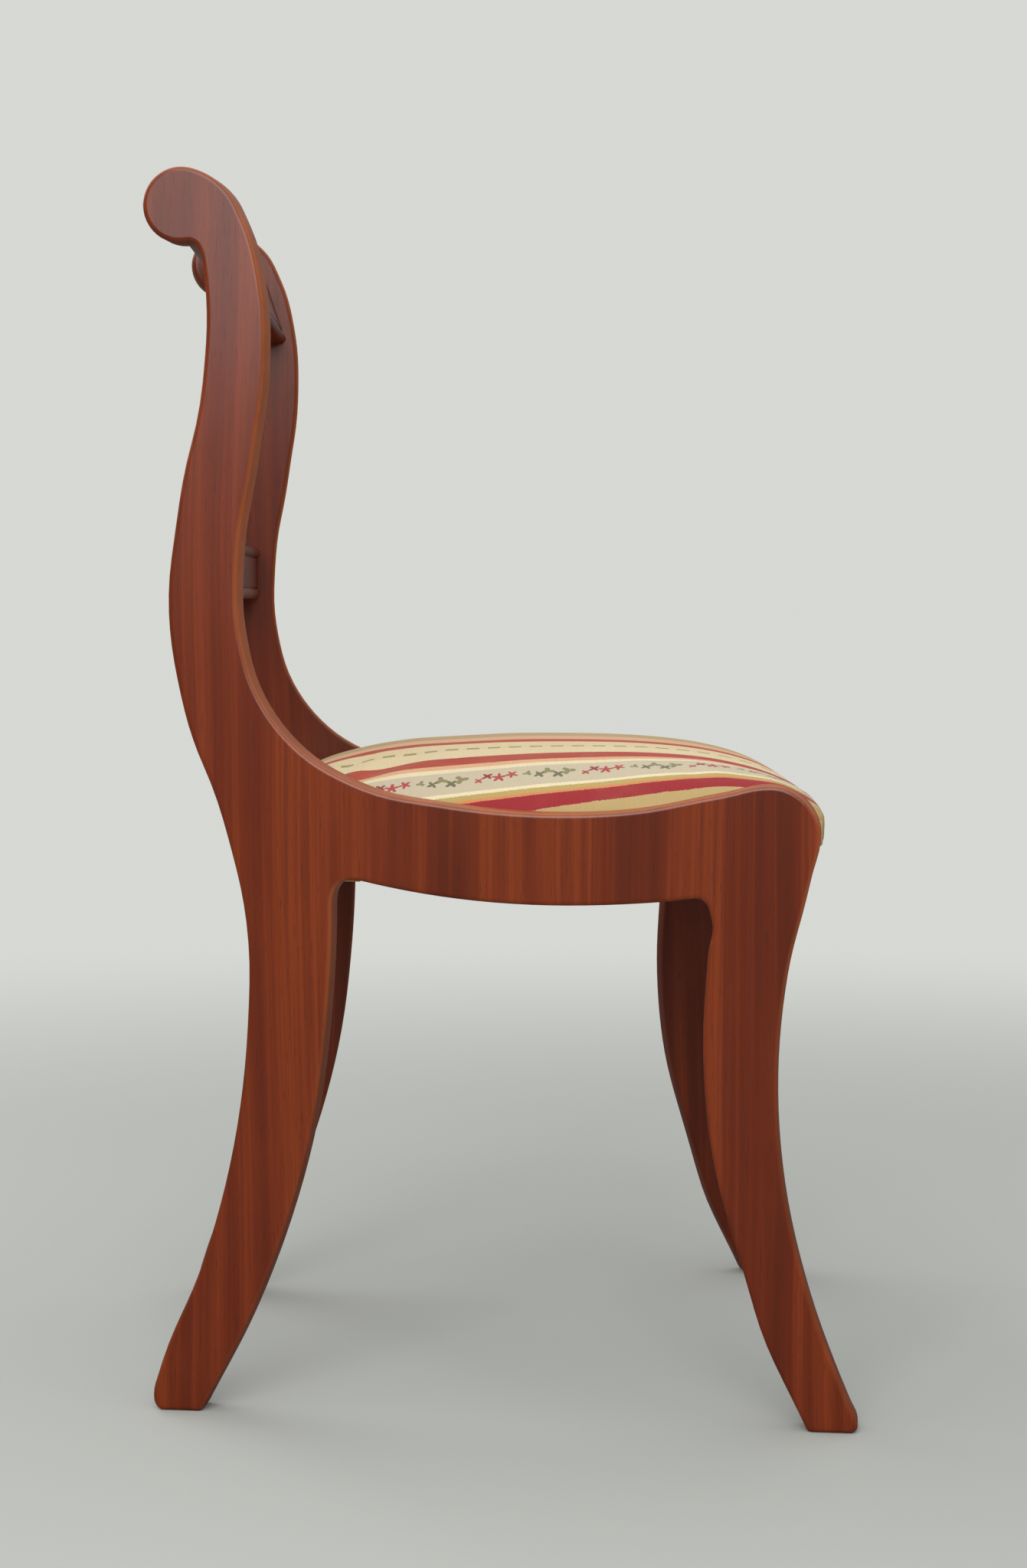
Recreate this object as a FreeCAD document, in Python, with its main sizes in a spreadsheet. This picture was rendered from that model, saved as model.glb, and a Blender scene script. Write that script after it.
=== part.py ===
import FreeCAD, Part
import math
import os

Vector = FreeCAD.Vector
Rotation = FreeCAD.Rotation
Placement = FreeCAD.Placement

doc = FreeCAD.newDocument("lyre_back_chair")

# Driving dimensions in millimetres and degrees.
# The chair stands on z = 0 with its front towards -Y and its middle on x = 0.
SIZES = {
    "overall_height": 850.0,
    "rail_top_height": 416.0,
    "side_rail_depth": 62.0,
    "overall_depth": 484.0,
    "mid_width": 425.0,
    "splay_angle": 8.0,
    "frame_thickness": 25.0,
    "frame_arris": 3.0,
    "scroll_radius": 25.5,
    "scroll_set": 217.5,
    "crest_height": 88.0,
    "crest_set": 173.0,
    "crest_thickness": 20.0,
    "crest_tilt": 18.5,
    "crest_face_height": 36.0,
    "crest_roll": 13.0,
    "lyre_opening": 162.0,
    "lower_rail_height": 40.0,
    "lower_rail_set": 193.0,
    "lower_rail_thickness": 21.0,
    "rail_bead": 4.0,
    "rail_quirk": 1.2,
    "lyre_base_width": 96.0,
    "lyre_base_height": 16.0,
    "lyre_base_depth": 19.0,
    "lyre_thickness": 14.0,
    "lyre_spread": 66.0,
    "lyre_yoke_height": 9.0,
    "lyre_yoke_level": 112.0,
    "string_diameter": 3.6,
    "string_pitch": 13.0,
    "string_count": 4,
    "string_socket": 5.0,
    "seat_rest_drop": 24.0,
    "front_rail_height": 54.0,
    "front_rail_thickness": 22.0,
    "front_rail_reach": 194.0,
    "back_rail_set": 146.0,
    "back_rail_thickness": 22.0,
    "back_rail_height": 52.0,
    "back_rail_rise": 12.0,
    "back_rebate": 9.0,
    "bearer_width": 16.0,
    "bearer_height": 22.0,
    "block_leg": 46.0,
    "block_height": 26.0,
    "block_tip": 7.0,
    "tenon_thickness": 8.0,
    "tenon_length": 15.0,
    "tenon_shoulder": 5.0,
    "tenon_root": 2.0,
    "seat_clearance": 1.5,
    "seat_rest_gap": 0.3,
    "cover_thickness": 1.6,
    "seat_rail_width": 46.0,
    "seat_rail_thickness": 18.0,
    "seat_tenon_width": 28.0,
    "seat_tenon_thickness": 6.0,
    "seat_tenon_length": 25.0,
    "seat_nose_reach": 224.0,
    "seat_nose_depth": 8.0,
    "seat_crown_rise": 44.0,
    "web_width": 48.0,
    "web_thickness": 1.2,
    "web_gap": 26.0,
    "web_inset": 7.0,
    "hessian_thickness": 0.8,
    "dust_cover_thickness": 0.8,
}

sheet = doc.addObject("Spreadsheet::Sheet", "Sizes")
for row, (alias, value) in enumerate(SIZES.items(), start=1):
    sheet.set(f"A{row}", alias)
    sheet.set(f"B{row}", str(value))
    sheet.setAlias(f"B{row}", alias)
doc.recompute()


def size(alias):
    """A driving dimension, read from the sheet."""
    return float(sheet.get(alias))


# The side frame is drawn flat: forward from the middle of the depth, and up from the floor.
# The drawing was made at these levels, and each one follows its driving dimension.
DRAWN_LEVELS = (0.0, 354.0, 416.0, 850.0)
DRAWN_DEPTH = 484.0
RAIL_TOP = size("rail_top_height")
LEVELS = (0.0, RAIL_TOP - size("side_rail_depth"), RAIL_TOP, size("overall_height"))


def level(drawn_height):
    """The real height of a height in the drawing."""
    for low in (0, 1, 2):
        if drawn_height <= DRAWN_LEVELS[low + 1] or low == 2:
            share = (drawn_height - DRAWN_LEVELS[low]) / (DRAWN_LEVELS[low + 1] - DRAWN_LEVELS[low])
            return LEVELS[low] + share * (LEVELS[low + 1] - LEVELS[low])


def reach(drawn_forward):
    """The real forward distance of a distance in the drawing."""
    return drawn_forward * size("overall_depth") / DRAWN_DEPTH


def on_board(forward, height):
    """A point on a side frame's own board plane, where forward is local -Y."""
    return Vector(0, -forward, height)


def yz(y, z):
    return Vector(0, y, z)


# Outlines are chains of tangent arcs: each point has a heading, and two arcs join each pair.

def heading_through(before, here, after):
    """The direction at a point of the circle through it and its neighbours."""
    arriving, leaving = here - before, after - here
    mix = arriving * (leaving.Length / arriving.Length) + leaving * (arriving.Length / leaving.Length)
    return mix.normalize()


def arc_leaving(start, direction, end):
    """The arc, or line, that leaves start along direction and ends at end."""
    chord = end - start
    normal = (direction.cross(chord)).cross(direction)
    if normal.Length < 1e-6 * chord.Length:
        return Part.LineSegment(start, end)
    normal.normalize()
    radius = chord.Length ** 2 / (2 * chord.dot(normal))
    half_turn = math.atan2(chord.dot(normal), chord.dot(direction))
    centre = start + normal * radius
    middle = centre - normal * (radius * math.cos(half_turn)) + direction * (radius * math.sin(half_turn))
    return Part.Arc(start, middle, end)


def two_arcs(start, start_heading, end, end_heading):
    """Two arcs that join two points and their headings with no corner."""
    chord = end - start
    both = start_heading + end_heading
    spread = 2 * (1 - start_heading.dot(end_heading))
    along = chord.dot(both)
    if spread < 1e-9:
        handle = chord.dot(chord) / (2 * along)
    else:
        handle = (-along + math.sqrt(along * along + spread * chord.dot(chord))) / spread
    middle = (start + start_heading * handle + end - end_heading * handle) * 0.5
    first = arc_leaving(start, start_heading, middle)
    second_back = arc_leaving(end, end_heading * -1, middle)
    if isinstance(second_back, Part.LineSegment):
        second = Part.LineSegment(middle, end)
    else:
        second = Part.Arc(middle, second_back.value(
            (second_back.FirstParameter + second_back.LastParameter) / 2), end)
    return [first, second]


def flowing_outline(points):
    """A closed outline of tangent arcs through points.

    A point is a position, or a position and a heading in the same plane.
    """
    places = [point[0] if isinstance(point, tuple) else point for point in points]
    headings = []
    for index, point in enumerate(points):
        if isinstance(point, tuple):
            direction = Vector(point[1])
            headings.append(direction.normalize())
        else:
            after = places[(index + 1) % len(places)]
            headings.append(heading_through(places[index - 1], places[index], after))
    curves = []
    for index, place in enumerate(places):
        nxt = (index + 1) % len(places)
        straight = (places[nxt] - place).cross(headings[index]).Length < 1e-6
        if straight and headings[index].dot(headings[nxt]) > 1 - 1e-9:
            curves.append(Part.LineSegment(place, places[nxt]))
        else:
            curves += two_arcs(place, headings[index], places[nxt], headings[nxt])
    return curves


def wire_of(curves):
    return Part.Wire([curve.toShape() for curve in curves])


def polygon(points):
    return Part.makePolygon(list(points) + [points[0]])


# Bodies, sketches and plain features

def origin_plane(body, role):
    for feature in body.Origin.OriginFeatures:
        if feature.Role == role:
            return feature


def new_body(name):
    body = doc.addObject("PartDesign::Body", name)
    body.Label = name
    return body


def new_sketch(body, name, role, offset=0.0):
    sketch = body.newObject("Sketcher::SketchObject", name)
    sketch.AttachmentSupport = [(origin_plane(body, role), "")]
    sketch.MapMode = "FlatFace"
    sketch.AttachmentOffset = Placement(Vector(0, 0, offset), Rotation())
    return sketch


def flatten(curve, axes):
    """A curve's copy in a sketch plane; axes gives the sketch's x and y as functions of a point."""
    def flat(point):
        return Vector(axes[0](point), axes[1](point), 0)
    if isinstance(curve, Part.LineSegment):
        return Part.LineSegment(flat(curve.StartPoint), flat(curve.EndPoint))
    middle = curve.value((curve.FirstParameter + curve.LastParameter) / 2)
    return Part.Arc(flat(curve.StartPoint), flat(middle), flat(curve.EndPoint))


YZ_AXES = (lambda point: point.y, lambda point: point.z)
XZ_AXES = (lambda point: point.x, lambda point: point.z)


def draw(sketch, curves, axes):
    for curve in curves:
        sketch.addGeometry(flatten(curve, axes), False)


def lines_round(points):
    """The straight edges of a closed polygon."""
    return [Part.LineSegment(points[index - 1], points[index]) for index in range(len(points))]


def pad(body, sketch, length_expression, midplane=False, backwards=False):
    feature = body.newObject("PartDesign::Pad", body.Name + "_pad_" + sketch.Name)
    feature.Profile = sketch
    feature.setExpression("Length", length_expression)
    feature.Midplane = midplane
    feature.Reversed = backwards
    body.Tip = feature
    doc.recompute()
    return feature


def feature_of(name, shape, placement=None):
    """A plain feature whose shape comes from the sizes above."""
    feature = doc.addObject("Part::Feature", name)
    feature.Label = name
    feature.Shape = shape
    if placement:
        feature.Placement = placement
    return feature


# Where the side frames stand

SPLAY = math.radians(size("splay_angle"))
HALF_MID = size("mid_width") / 2
THICKNESS = size("frame_thickness")
# The splay brings the inner faces forward, so the whole chair is set back by half of that.
CENTRE_SHIFT = THICKNESS * math.sin(SPLAY) / 2

FRAME_PLACES = {
    "right": Placement(Vector(-HALF_MID, CENTRE_SHIFT, 0), Rotation(Vector(0, 0, 1), -size("splay_angle"))),
    "left": Placement(Vector(HALF_MID, CENTRE_SHIFT, 0), Rotation(Vector(0, 0, 1), size("splay_angle"))),
}
SIDES = {"right": -1, "left": 1}


def ahead(drawn_forward):
    """The chair's own y, on a frame's inner face, of a forward distance in the drawing."""
    return CENTRE_SHIFT - reach(drawn_forward) * math.cos(SPLAY) - THICKNESS * math.sin(SPLAY)


def inner_half_width(y):
    """Half the width between the frames' inner faces at the chair's own y."""
    outer = HALF_MID + (CENTRE_SHIFT - y) * math.tan(SPLAY)
    return outer - THICKNESS / math.cos(SPLAY)


def between(y_front, y_back, clearance=0.0):
    """The plan of the space between the frames, from one y to another."""
    gap = clearance / math.cos(SPLAY)
    front, back = inner_half_width(y_front) - gap, inner_half_width(y_back) - gap
    return [(-front, y_front), (front, y_front), (back, y_back), (-back, y_back)]


# Side frames

def frame_outline():
    """The whole side frame, from the scroll round the front and back to the scroll."""
    radius = size("scroll_radius")
    centre = on_board(-reach(size("scroll_set")), LEVELS[3] - radius)
    down, up, fore, aft = Vector(0, 0, -1), Vector(0, 0, 1), Vector(0, -1, 0), Vector(0, 1, 0)

    def at(forward, height):
        return on_board(reach(forward), level(height))

    scroll = [
        (centre + up * radius, fore),
        at(-200.0, 845.2),
        at(-187.0, 835.5),
        at(-172.5, 810.0),
    ]
    upright_front = [
        at(-162.0, 768.0),
        at(-160.3, 718.0),
        at(-168.5, 655.0),
        at(-178.5, 595.0),
        at(-178.5, 540.0),
        at(-165.0, 493.0),
        at(-137.0, 457.5),
    ]
    rail_top = [
        at(-94.0, 433.0),
        at(-35.0, 421.0),
        at(28.0, 415.8),
        at(90.0, 418.5),
        at(145.0, 429.0),
    ]
    head = [
        (at(181.0, 435.7), fore),
        at(204.5, 425.5),
        (at(214.3, 403.0), down),
    ]
    front_leg_front = [
        at(207.5, 371.0),
        at(192.5, 307.0),
        at(186.5, 240.0),
        at(191.5, 166.0),
        at(209.5, 89.0),
        at(235.0, 21.0),
    ]
    front_foot = [
        (at(241.5, 5.5), down + fore * 0.15),
        (on_board(reach(235.0), 0), aft),
        (on_board(reach(212.0), 0), aft),
        at(204.0, 5.0),
    ]
    front_leg_rear = [
        at(184.5, 46.0),
        at(161.0, 119.0),
        at(143.5, 184.0),
        at(136.8, 250.0),
        at(139.5, 320.0),
    ]
    rail_under = [
        at(142.0, 346.0),
        at(137.0, 357.5),
        at(122.0, 359.3),
        at(45.0, 354.3),
        at(-30.0, 358.5),
        at(-94.0, 369.0),
        at(-110.0, 367.0),
    ]
    back_leg_front = [
        (at(-115.6, 352.0), down),
        at(-118.5, 285.0),
        at(-130.0, 199.0),
        at(-152.0, 121.0),
        at(-180.5, 52.0),
        at(-201.0, 12.0),
    ]
    back_foot = [
        (on_board(reach(-214.0), 0), aft),
        (on_board(reach(-235.0), 0), aft),
        (at(-241.9, 7.5), up + aft * 0.1),
    ]
    upright_rear = [
        at(-235.0, 36.0),
        at(-210.0, 95.0),
        at(-187.5, 172.0),
        at(-175.3, 255.0),
        at(-175.0, 340.0),
        at(-190.5, 409.0),
        at(-217.0, 484.0),
        at(-227.3, 550.0),
        at(-219.5, 625.0),
        at(-203.0, 704.0),
        at(-200.0, 762.0),
    ]
    neck_turn = math.radians(-80.0)
    neck = centre + Vector(0, -math.cos(neck_turn), math.sin(neck_turn)) * radius
    neck_heading = Vector(0, -math.sin(neck_turn), -math.cos(neck_turn))
    scroll_under = [
        (at(-202.0, 784.0), up + aft * 0.12),
        (neck, neck_heading * -1 if neck_heading.y < 0 else neck_heading),
        (centre + aft * radius, up),
    ]
    return flowing_outline(
        scroll + upright_front + rail_top + head + front_leg_front + front_foot + front_leg_rear
        + rail_under + back_leg_front + back_foot + upright_rear + scroll_under)


def board_y(y):
    """The frame's own y, on its inner face, of a y of the chair."""
    return (y - CENTRE_SHIFT + THICKNESS * math.sin(SPLAY)) / math.cos(SPLAY)


def upright_tenon(y_middle, low, high):
    """A tenon's corners in the chair's y and z, with its shoulders taken off a rail's height."""
    half, shoulder = size("tenon_thickness") / 2, size("tenon_shoulder")
    return [yz(y_middle - half, low + shoulder), yz(y_middle + half, low + shoulder),
            yz(y_middle + half, high - shoulder), yz(y_middle - half, high - shoulder)]


def tenon_corners(rail):
    """The corners of a rail's tenons where they enter the side frames."""
    if rail == "crest":
        foot = CREST_FOOT + CREST_DEPTH * (size("crest_thickness") - size("tenon_thickness")) / 2
        across = CREST_DEPTH * size("tenon_thickness")
        rise = CREST_RISE * (size("crest_face_height") + size("tenon_shoulder"))
        return [foot, foot + across, foot + across + rise, foot + rise]
    if rail == "lower_rail":
        middle = LOWER_RAIL_FRONT + size("lower_rail_thickness") / 2
        return upright_tenon(middle, LOWER_RAIL_BOTTOM, LOWER_RAIL_TOP)
    if rail == "front_rail":
        middle = (FRONT_RAIL_FRONT + FRONT_RAIL_BACK) / 2
        return upright_tenon(middle, REST - size("front_rail_height"), REST)
    middle = (BACK_RAIL_FRONT + size("back_rebate") + BACK_RAIL_BACK) / 2
    return upright_tenon(middle, BACK_RAIL_TOP - size("back_rail_height"), BACK_RAIL_TOP)


RAILS = ("crest", "lower_rail", "front_rail", "back_rail")
TENON_ROOT = size("tenon_root")


def tenons_of(rail):
    """Both tenons of a rail, square to the frames' inner faces, with a root inside the rail."""
    tenons = []
    for side in SIDES:
        inward = 1 if side == "right" else -1
        tip = inward * (THICKNESS - size("tenon_length"))
        corners = [Vector(tip, board_y(corner.y), corner.z) for corner in tenon_corners(rail)]
        run = Vector(inward * (size("tenon_length") + TENON_ROOT), 0, 0)
        tenon = Part.Face(polygon(corners)).extrude(run)
        tenon.Placement = FRAME_PLACES[side].multiply(tenon.Placement)
        tenons.append(tenon)
    return tenons


def side_frame(side):
    inward = 1 if side == "right" else -1
    body = new_body("side_frame_" + side)
    sketch = new_sketch(body, "outline_" + side, "YZ_Plane")
    draw(sketch, frame_outline(), YZ_AXES)
    board = pad(body, sketch, "Sizes.frame_thickness", backwards=inward < 0)
    outline_edges = [
        f"Edge{number}" for number, edge in enumerate(board.Shape.Edges, start=1)
        if edge.BoundBox.XLength < 1e-6]
    arris = body.newObject("PartDesign::Chamfer", "arris_" + side)
    arris.Base = (board, outline_edges)
    arris.setExpression("Size", "Sizes.frame_arris")
    body.Tip = arris
    doc.recompute()
    mortises = new_sketch(body, "mortises_" + side, "YZ_Plane", inward * THICKNESS)
    for rail in RAILS:
        corners = [yz(board_y(corner.y), corner.z) for corner in tenon_corners(rail)]
        draw(mortises, lines_round(corners), YZ_AXES)
    cut = body.newObject("PartDesign::Pocket", "mortised_" + side)
    cut.Profile = mortises
    cut.setExpression("Length", "Sizes.tenon_length")
    cut.Reversed = inward < 0
    body.Tip = cut
    doc.recompute()
    body.Placement = FRAME_PLACES[side]
    return body


# Rails across the chair: a profile in the YZ plane, trimmed by the frames' inner faces

def prism(plan, low, high):
    """An upright block over a plan."""
    corners = [Vector(x, y, low) for x, y in plan]
    return Part.Face(polygon(corners)).extrude(Vector(0, 0, high - low))


def cross_rail(name, profile_curves, rail):
    """A rail with this profile, shouldered against the frames, with its two tenons."""
    face = Part.Face(wire_of(profile_curves))
    box = face.BoundBox
    length = 2 * size("mid_width")
    bar = face.extrude(Vector(length, 0, 0))
    bar.translate(Vector(-length / 2, 0, 0))
    margin = 1.0
    space = prism(between(box.YMin - margin, box.YMax + margin), box.ZMin - margin, box.ZMax + margin)
    shouldered = bar.common(space)
    whole = shouldered.fuse(tenons_of(rail)).removeSplitter()
    return feature_of(name, whole.Solids[0])


CREST_LEAN = math.radians(size("crest_tilt"))
CREST_RISE = yz(math.sin(CREST_LEAN), math.cos(CREST_LEAN))
CREST_DEPTH = yz(math.cos(CREST_LEAN), -math.sin(CREST_LEAN))
CREST_BOTTOM = size("overall_height") - size("crest_height")
CREST_FOOT = yz(ahead(-size("crest_set")), CREST_BOTTOM + 2.75 * size("rail_bead"))
LOWER_RAIL_FRONT = ahead(-size("lower_rail_set"))
LOWER_RAIL_TOP = CREST_BOTTOM - size("lyre_opening")
LOWER_RAIL_BOTTOM = LOWER_RAIL_TOP - size("lower_rail_height")


def crest_rail():
    """A tilted face with a bead and quirk below, rolled over at the top like the scrolls."""
    bead, quirk = size("rail_bead"), size("rail_quirk")
    thickness, roll = size("crest_thickness"), size("crest_roll")
    bottom = CREST_BOTTOM
    face_top = CREST_FOOT + CREST_RISE * size("crest_face_height")
    roll_top = yz(ahead(-size("scroll_set")), LEVELS[3] - roll)
    roll_rear = roll_top + yz(roll, -roll)
    rear_top = face_top + CREST_DEPTH * thickness + CREST_RISE * quirk
    rear_bottom = yz(CREST_FOOT.y + 0.85 * thickness, bottom)
    bead_bottom = yz(CREST_FOOT.y + quirk, bottom)
    bead_top = yz(CREST_FOOT.y + quirk, bottom + 2 * bead)
    back, down = yz(1, 0), yz(0, -1)
    curves = [
        Part.LineSegment(rear_bottom, bead_bottom),
        Part.Arc(bead_bottom, yz(bead_bottom.y - bead, bottom + bead), bead_top),
        Part.LineSegment(bead_top, CREST_FOOT),
        Part.LineSegment(CREST_FOOT, face_top),
    ]
    curves += two_arcs(face_top, CREST_RISE, roll_top, back)
    curves += two_arcs(roll_top, back, roll_rear, down)
    curves += two_arcs(roll_rear, down, rear_top, yz(-1, -0.15).normalize())
    curves.append(Part.LineSegment(rear_top, rear_bottom))
    return cross_rail("crest_rail", curves, "crest")


def lower_back_rail():
    """A flat band with a bead above and below it."""
    bottom, top = LOWER_RAIL_BOTTOM, LOWER_RAIL_TOP
    bead, quirk = size("rail_bead"), size("rail_quirk")
    front = LOWER_RAIL_FRONT
    rear = front + size("lower_rail_thickness")
    sunk, swell = front + quirk, front + quirk - 0.6 * bead
    band_low, band_high = bottom + 2 * bead, top - 2 * bead
    curves = [
        Part.LineSegment(yz(rear, bottom), yz(sunk, bottom)),
        Part.Arc(yz(sunk, bottom), yz(swell, bottom + bead), yz(sunk, band_low)),
        Part.LineSegment(yz(sunk, band_low), yz(front, band_low + quirk)),
        Part.LineSegment(yz(front, band_low + quirk), yz(front, band_high - quirk)),
        Part.LineSegment(yz(front, band_high - quirk), yz(sunk, band_high)),
        Part.Arc(yz(sunk, band_high), yz(swell, top - bead), yz(sunk, top)),
        Part.LineSegment(yz(sunk, top), yz(rear, top)),
        Part.LineSegment(yz(rear, top), yz(rear, bottom)),
    ]
    return cross_rail("lower_back_rail", curves, "lower_rail")


REST = RAIL_TOP - size("seat_rest_drop")
FRONT_RAIL_FRONT = ahead(size("front_rail_reach"))
FRONT_RAIL_BACK = FRONT_RAIL_FRONT + size("front_rail_thickness")
BACK_RAIL_FRONT = ahead(-size("back_rail_set"))
BACK_RAIL_BACK = BACK_RAIL_FRONT + size("back_rail_thickness")
BACK_RAIL_TOP = RAIL_TOP + size("back_rail_rise")


def front_seat_rail():
    bottom = REST - size("front_rail_height")
    corners = [
        yz(FRONT_RAIL_FRONT, bottom),
        yz(FRONT_RAIL_BACK, bottom),
        yz(FRONT_RAIL_BACK, REST),
        yz(FRONT_RAIL_FRONT, REST),
    ]
    return cross_rail("front_seat_rail", lines_round(corners), "front_rail")


def back_seat_rail():
    """The back rail, rebated along its front edge to carry the seat."""
    top = BACK_RAIL_TOP
    bottom = top - size("back_rail_height")
    step = BACK_RAIL_FRONT + size("back_rebate")
    corners = [
        yz(BACK_RAIL_FRONT, bottom),
        yz(BACK_RAIL_BACK, bottom),
        yz(BACK_RAIL_BACK, top),
        yz(step, top),
        yz(step, REST),
        yz(BACK_RAIL_FRONT, REST),
    ]
    return cross_rail("back_seat_rail", lines_round(corners), "back_rail")


# Lyre: it stands on the lower back rail and leans forward to meet the crest rail

LYRE_FOOT = yz(LOWER_RAIL_FRONT + size("lower_rail_thickness") / 2, LOWER_RAIL_TOP)
LYRE_HEAD = yz(CREST_FOOT.y + size("crest_thickness") / 2, CREST_BOTTOM)
LYRE_LEAN = math.degrees(math.atan2(LYRE_FOOT.y - LYRE_HEAD.y, LYRE_HEAD.z - LYRE_FOOT.z))
LYRE_RISE = (LYRE_HEAD - LYRE_FOOT).Length
LYRE_PLACE = Placement(LYRE_FOOT, Rotation(Vector(1, 0, 0), LYRE_LEAN))
ROOM_HEIGHT = size("lyre_opening")


def lyre_room():
    """The slab between the lower rail and the crest rail, which trims the lyre's ends."""
    wide, deep = 2 * size("mid_width"), size("overall_depth")
    slab = Part.makeBox(wide, deep, ROOM_HEIGHT, Vector(-wide / 2, 0, LOWER_RAIL_TOP))
    return slab


def string_centres():
    count = int(size("string_count"))
    return [size("string_pitch") * (index - (count - 1) / 2) for index in range(count)]


def string_rods(grow=0.0):
    """The strings, from their sockets in the base to their sockets in the yoke."""
    start = size("lyre_base_height") - size("string_socket")
    end = size("lyre_yoke_level") + size("string_socket")
    radius = size("string_diameter") / 2 + grow
    return [Part.makeCylinder(radius, end - start, Vector(x, 0, start)) for x in string_centres()]


def placed(shape):
    copy = shape.copy()
    copy.Placement = LYRE_PLACE.multiply(copy.Placement)
    return copy


def lyre_base():
    """A block with a cove between two fillets on its front, back and ends."""
    width, depth, height = size("lyre_base_width"), size("lyre_base_depth"), size("lyre_base_height")
    waist = 2.5
    levels = [(-3.0, 0.0), (height * 0.35, 0.0), (height * 0.45, waist), (height * 0.8, waist + 1.5),
              (height, waist + 1.5)]
    block = None
    for (low, low_inset), (high, high_inset) in zip(levels, levels[1:]):
        rings = []
        for z, inset in ((low, low_inset), (high, high_inset)):
            half_x, half_y = width / 2 - inset, depth / 2 - inset
            corners = [Vector(-half_x, -half_y, z), Vector(half_x, -half_y, z),
                       Vector(half_x, half_y, z), Vector(-half_x, half_y, z)]
            rings.append(polygon(corners))
        step = Part.makeLoft(rings, True, True)
        block = step if block is None else block.fuse(step)
    block = block.removeSplitter().cut(Part.makeCompound(string_rods()))
    return feature_of("lyre_base", placed(block).common(lyre_room()).Solids[0])


def arm_outline(side):
    """One arm of the lyre in the XZ plane: it swells, draws in to a neck and scrolls outwards."""
    wide = size("lyre_spread") / 66.0
    tall = LYRE_RISE / 162.8
    base = size("lyre_base_height")

    def at(across, height):
        rise = base + (height - 16.0) * (LYRE_RISE - base) / (162.8 - 16.0)
        return Vector(side * across * wide, 0, rise)

    out, inn = Vector(side, 0, 0), Vector(-side, 0, 0)
    up, down = Vector(0, 0, 1), Vector(0, 0, -1)
    outer = [
        (at(36.0, 16.0), out),
        at(58.5, 33.0),
        (at(65.5, 60.0), up),
        at(56.0, 92.0),
        (at(48.0, 118.0), up),
        at(51.0, 131.0),
        (at(58.0, 136.0), out),
        (at(66.0, 144.0), up),
    ]
    roll = [
        at(62.5, 157.0),
        (at(50.0, 164.5), inn),
        at(38.5, 153.0),
        at(35.0, 134.0),
    ]
    inner = [
        (at(36.0, 116.0), down),
        at(42.5, 88.0),
        (at(50.5, 61.0), down),
        at(46.0, 43.0),
        at(36.0, 31.5),
        (at(28.5, 27.0), inn + down * 0.4),
    ]
    heel = [
        (at(24.0, 21.0), down),
        (at(26.0, 16.0), out),
    ]
    return flowing_outline(outer + roll + inner + heel)


def crest_line(y):
    """The crest rail's underside in the lyre's own plane, at a depth y."""
    lean = math.radians(LYRE_LEAN)
    return (ROOM_HEIGHT - y * math.sin(lean)) / math.cos(lean)


def lyre_arm(name, side):
    """An arm, its scroll cut flat where it meets the crest rail."""
    body = new_body(name)
    sketch = new_sketch(body, name + "_outline", "XZ_Plane")
    draw(sketch, arm_outline(side), XZ_AXES)
    pad(body, sketch, "Sizes.lyre_thickness", midplane=True)
    trim = new_sketch(body, name + "_trim", "YZ_Plane")
    deep, high = size("lyre_thickness"), 2 * LYRE_RISE
    corners = [yz(-deep, crest_line(-deep)), yz(deep, crest_line(deep)), yz(deep, high), yz(-deep, high)]
    draw(trim, lines_round(corners), YZ_AXES)
    trimmed = body.newObject("PartDesign::Pocket", name + "_trimmed")
    trimmed.Profile = trim
    trimmed.Midplane = True
    trimmed.setExpression("Length", "Sizes.mid_width")
    body.Tip = trimmed
    doc.recompute()
    body.Placement = LYRE_PLACE
    return body


def lyre_yoke(arms):
    """The bar between the arms that holds the strings' upper ends, arched along its top."""
    low, height = size("lyre_yoke_level"), size("lyre_yoke_height")
    half, depth = size("lyre_spread"), size("lyre_thickness") - 2.0
    arch = 5.0
    top = low + height
    curves = [
        Part.LineSegment(Vector(-half, 0, low), Vector(half, 0, low)),
        Part.LineSegment(Vector(half, 0, low), Vector(half, 0, top)),
        Part.Arc(Vector(half, 0, top), Vector(0, 0, top + arch), Vector(-half, 0, top)),
        Part.LineSegment(Vector(-half, 0, top), Vector(-half, 0, low)),
    ]
    bar = Part.Face(wire_of(curves)).extrude(Vector(0, depth, 0))
    bar.translate(Vector(0, -depth / 2, 0))
    bar = placed(bar.cut(Part.makeCompound(string_rods())))
    for arm in arms:
        bar = bar.cut(arm.Shape)
    middle = LYRE_PLACE.multVec(Vector(0, 0, low + height / 2))
    inner = min(bar.Solids, key=lambda solid: abs(solid.CenterOfMass.x - middle.x))
    return feature_of("lyre_yoke", inner)


def lyre_strings():
    return feature_of("lyre_strings", placed(Part.makeCompound(string_rods())))


# Bearers and corner blocks below the seat

BLOCK_LEG = size("block_leg")


def inner_point(side, y):
    return Vector(SIDES[side] * inner_half_width(y), y, 0)


def outward(side):
    """The direction square to a frame, from inside to outside."""
    return Vector(SIDES[side] * math.cos(SPLAY), math.sin(SPLAY), 0)


def bearer_ends():
    return FRONT_RAIL_BACK + BLOCK_LEG, BACK_RAIL_FRONT - BLOCK_LEG


def seat_bearer(side):
    front, back = bearer_ends()
    step = Vector(SIDES[side] * size("bearer_width") / math.cos(SPLAY), 0, 0)
    corners = [inner_point(side, front), inner_point(side, back),
               inner_point(side, back) - step, inner_point(side, front) - step]
    low = REST - size("bearer_height")
    face = Part.Face(polygon([corner + Vector(0, 0, low) for corner in corners]))
    return feature_of("seat_bearer_" + side, face.extrude(Vector(0, 0, size("bearer_height"))))


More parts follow.
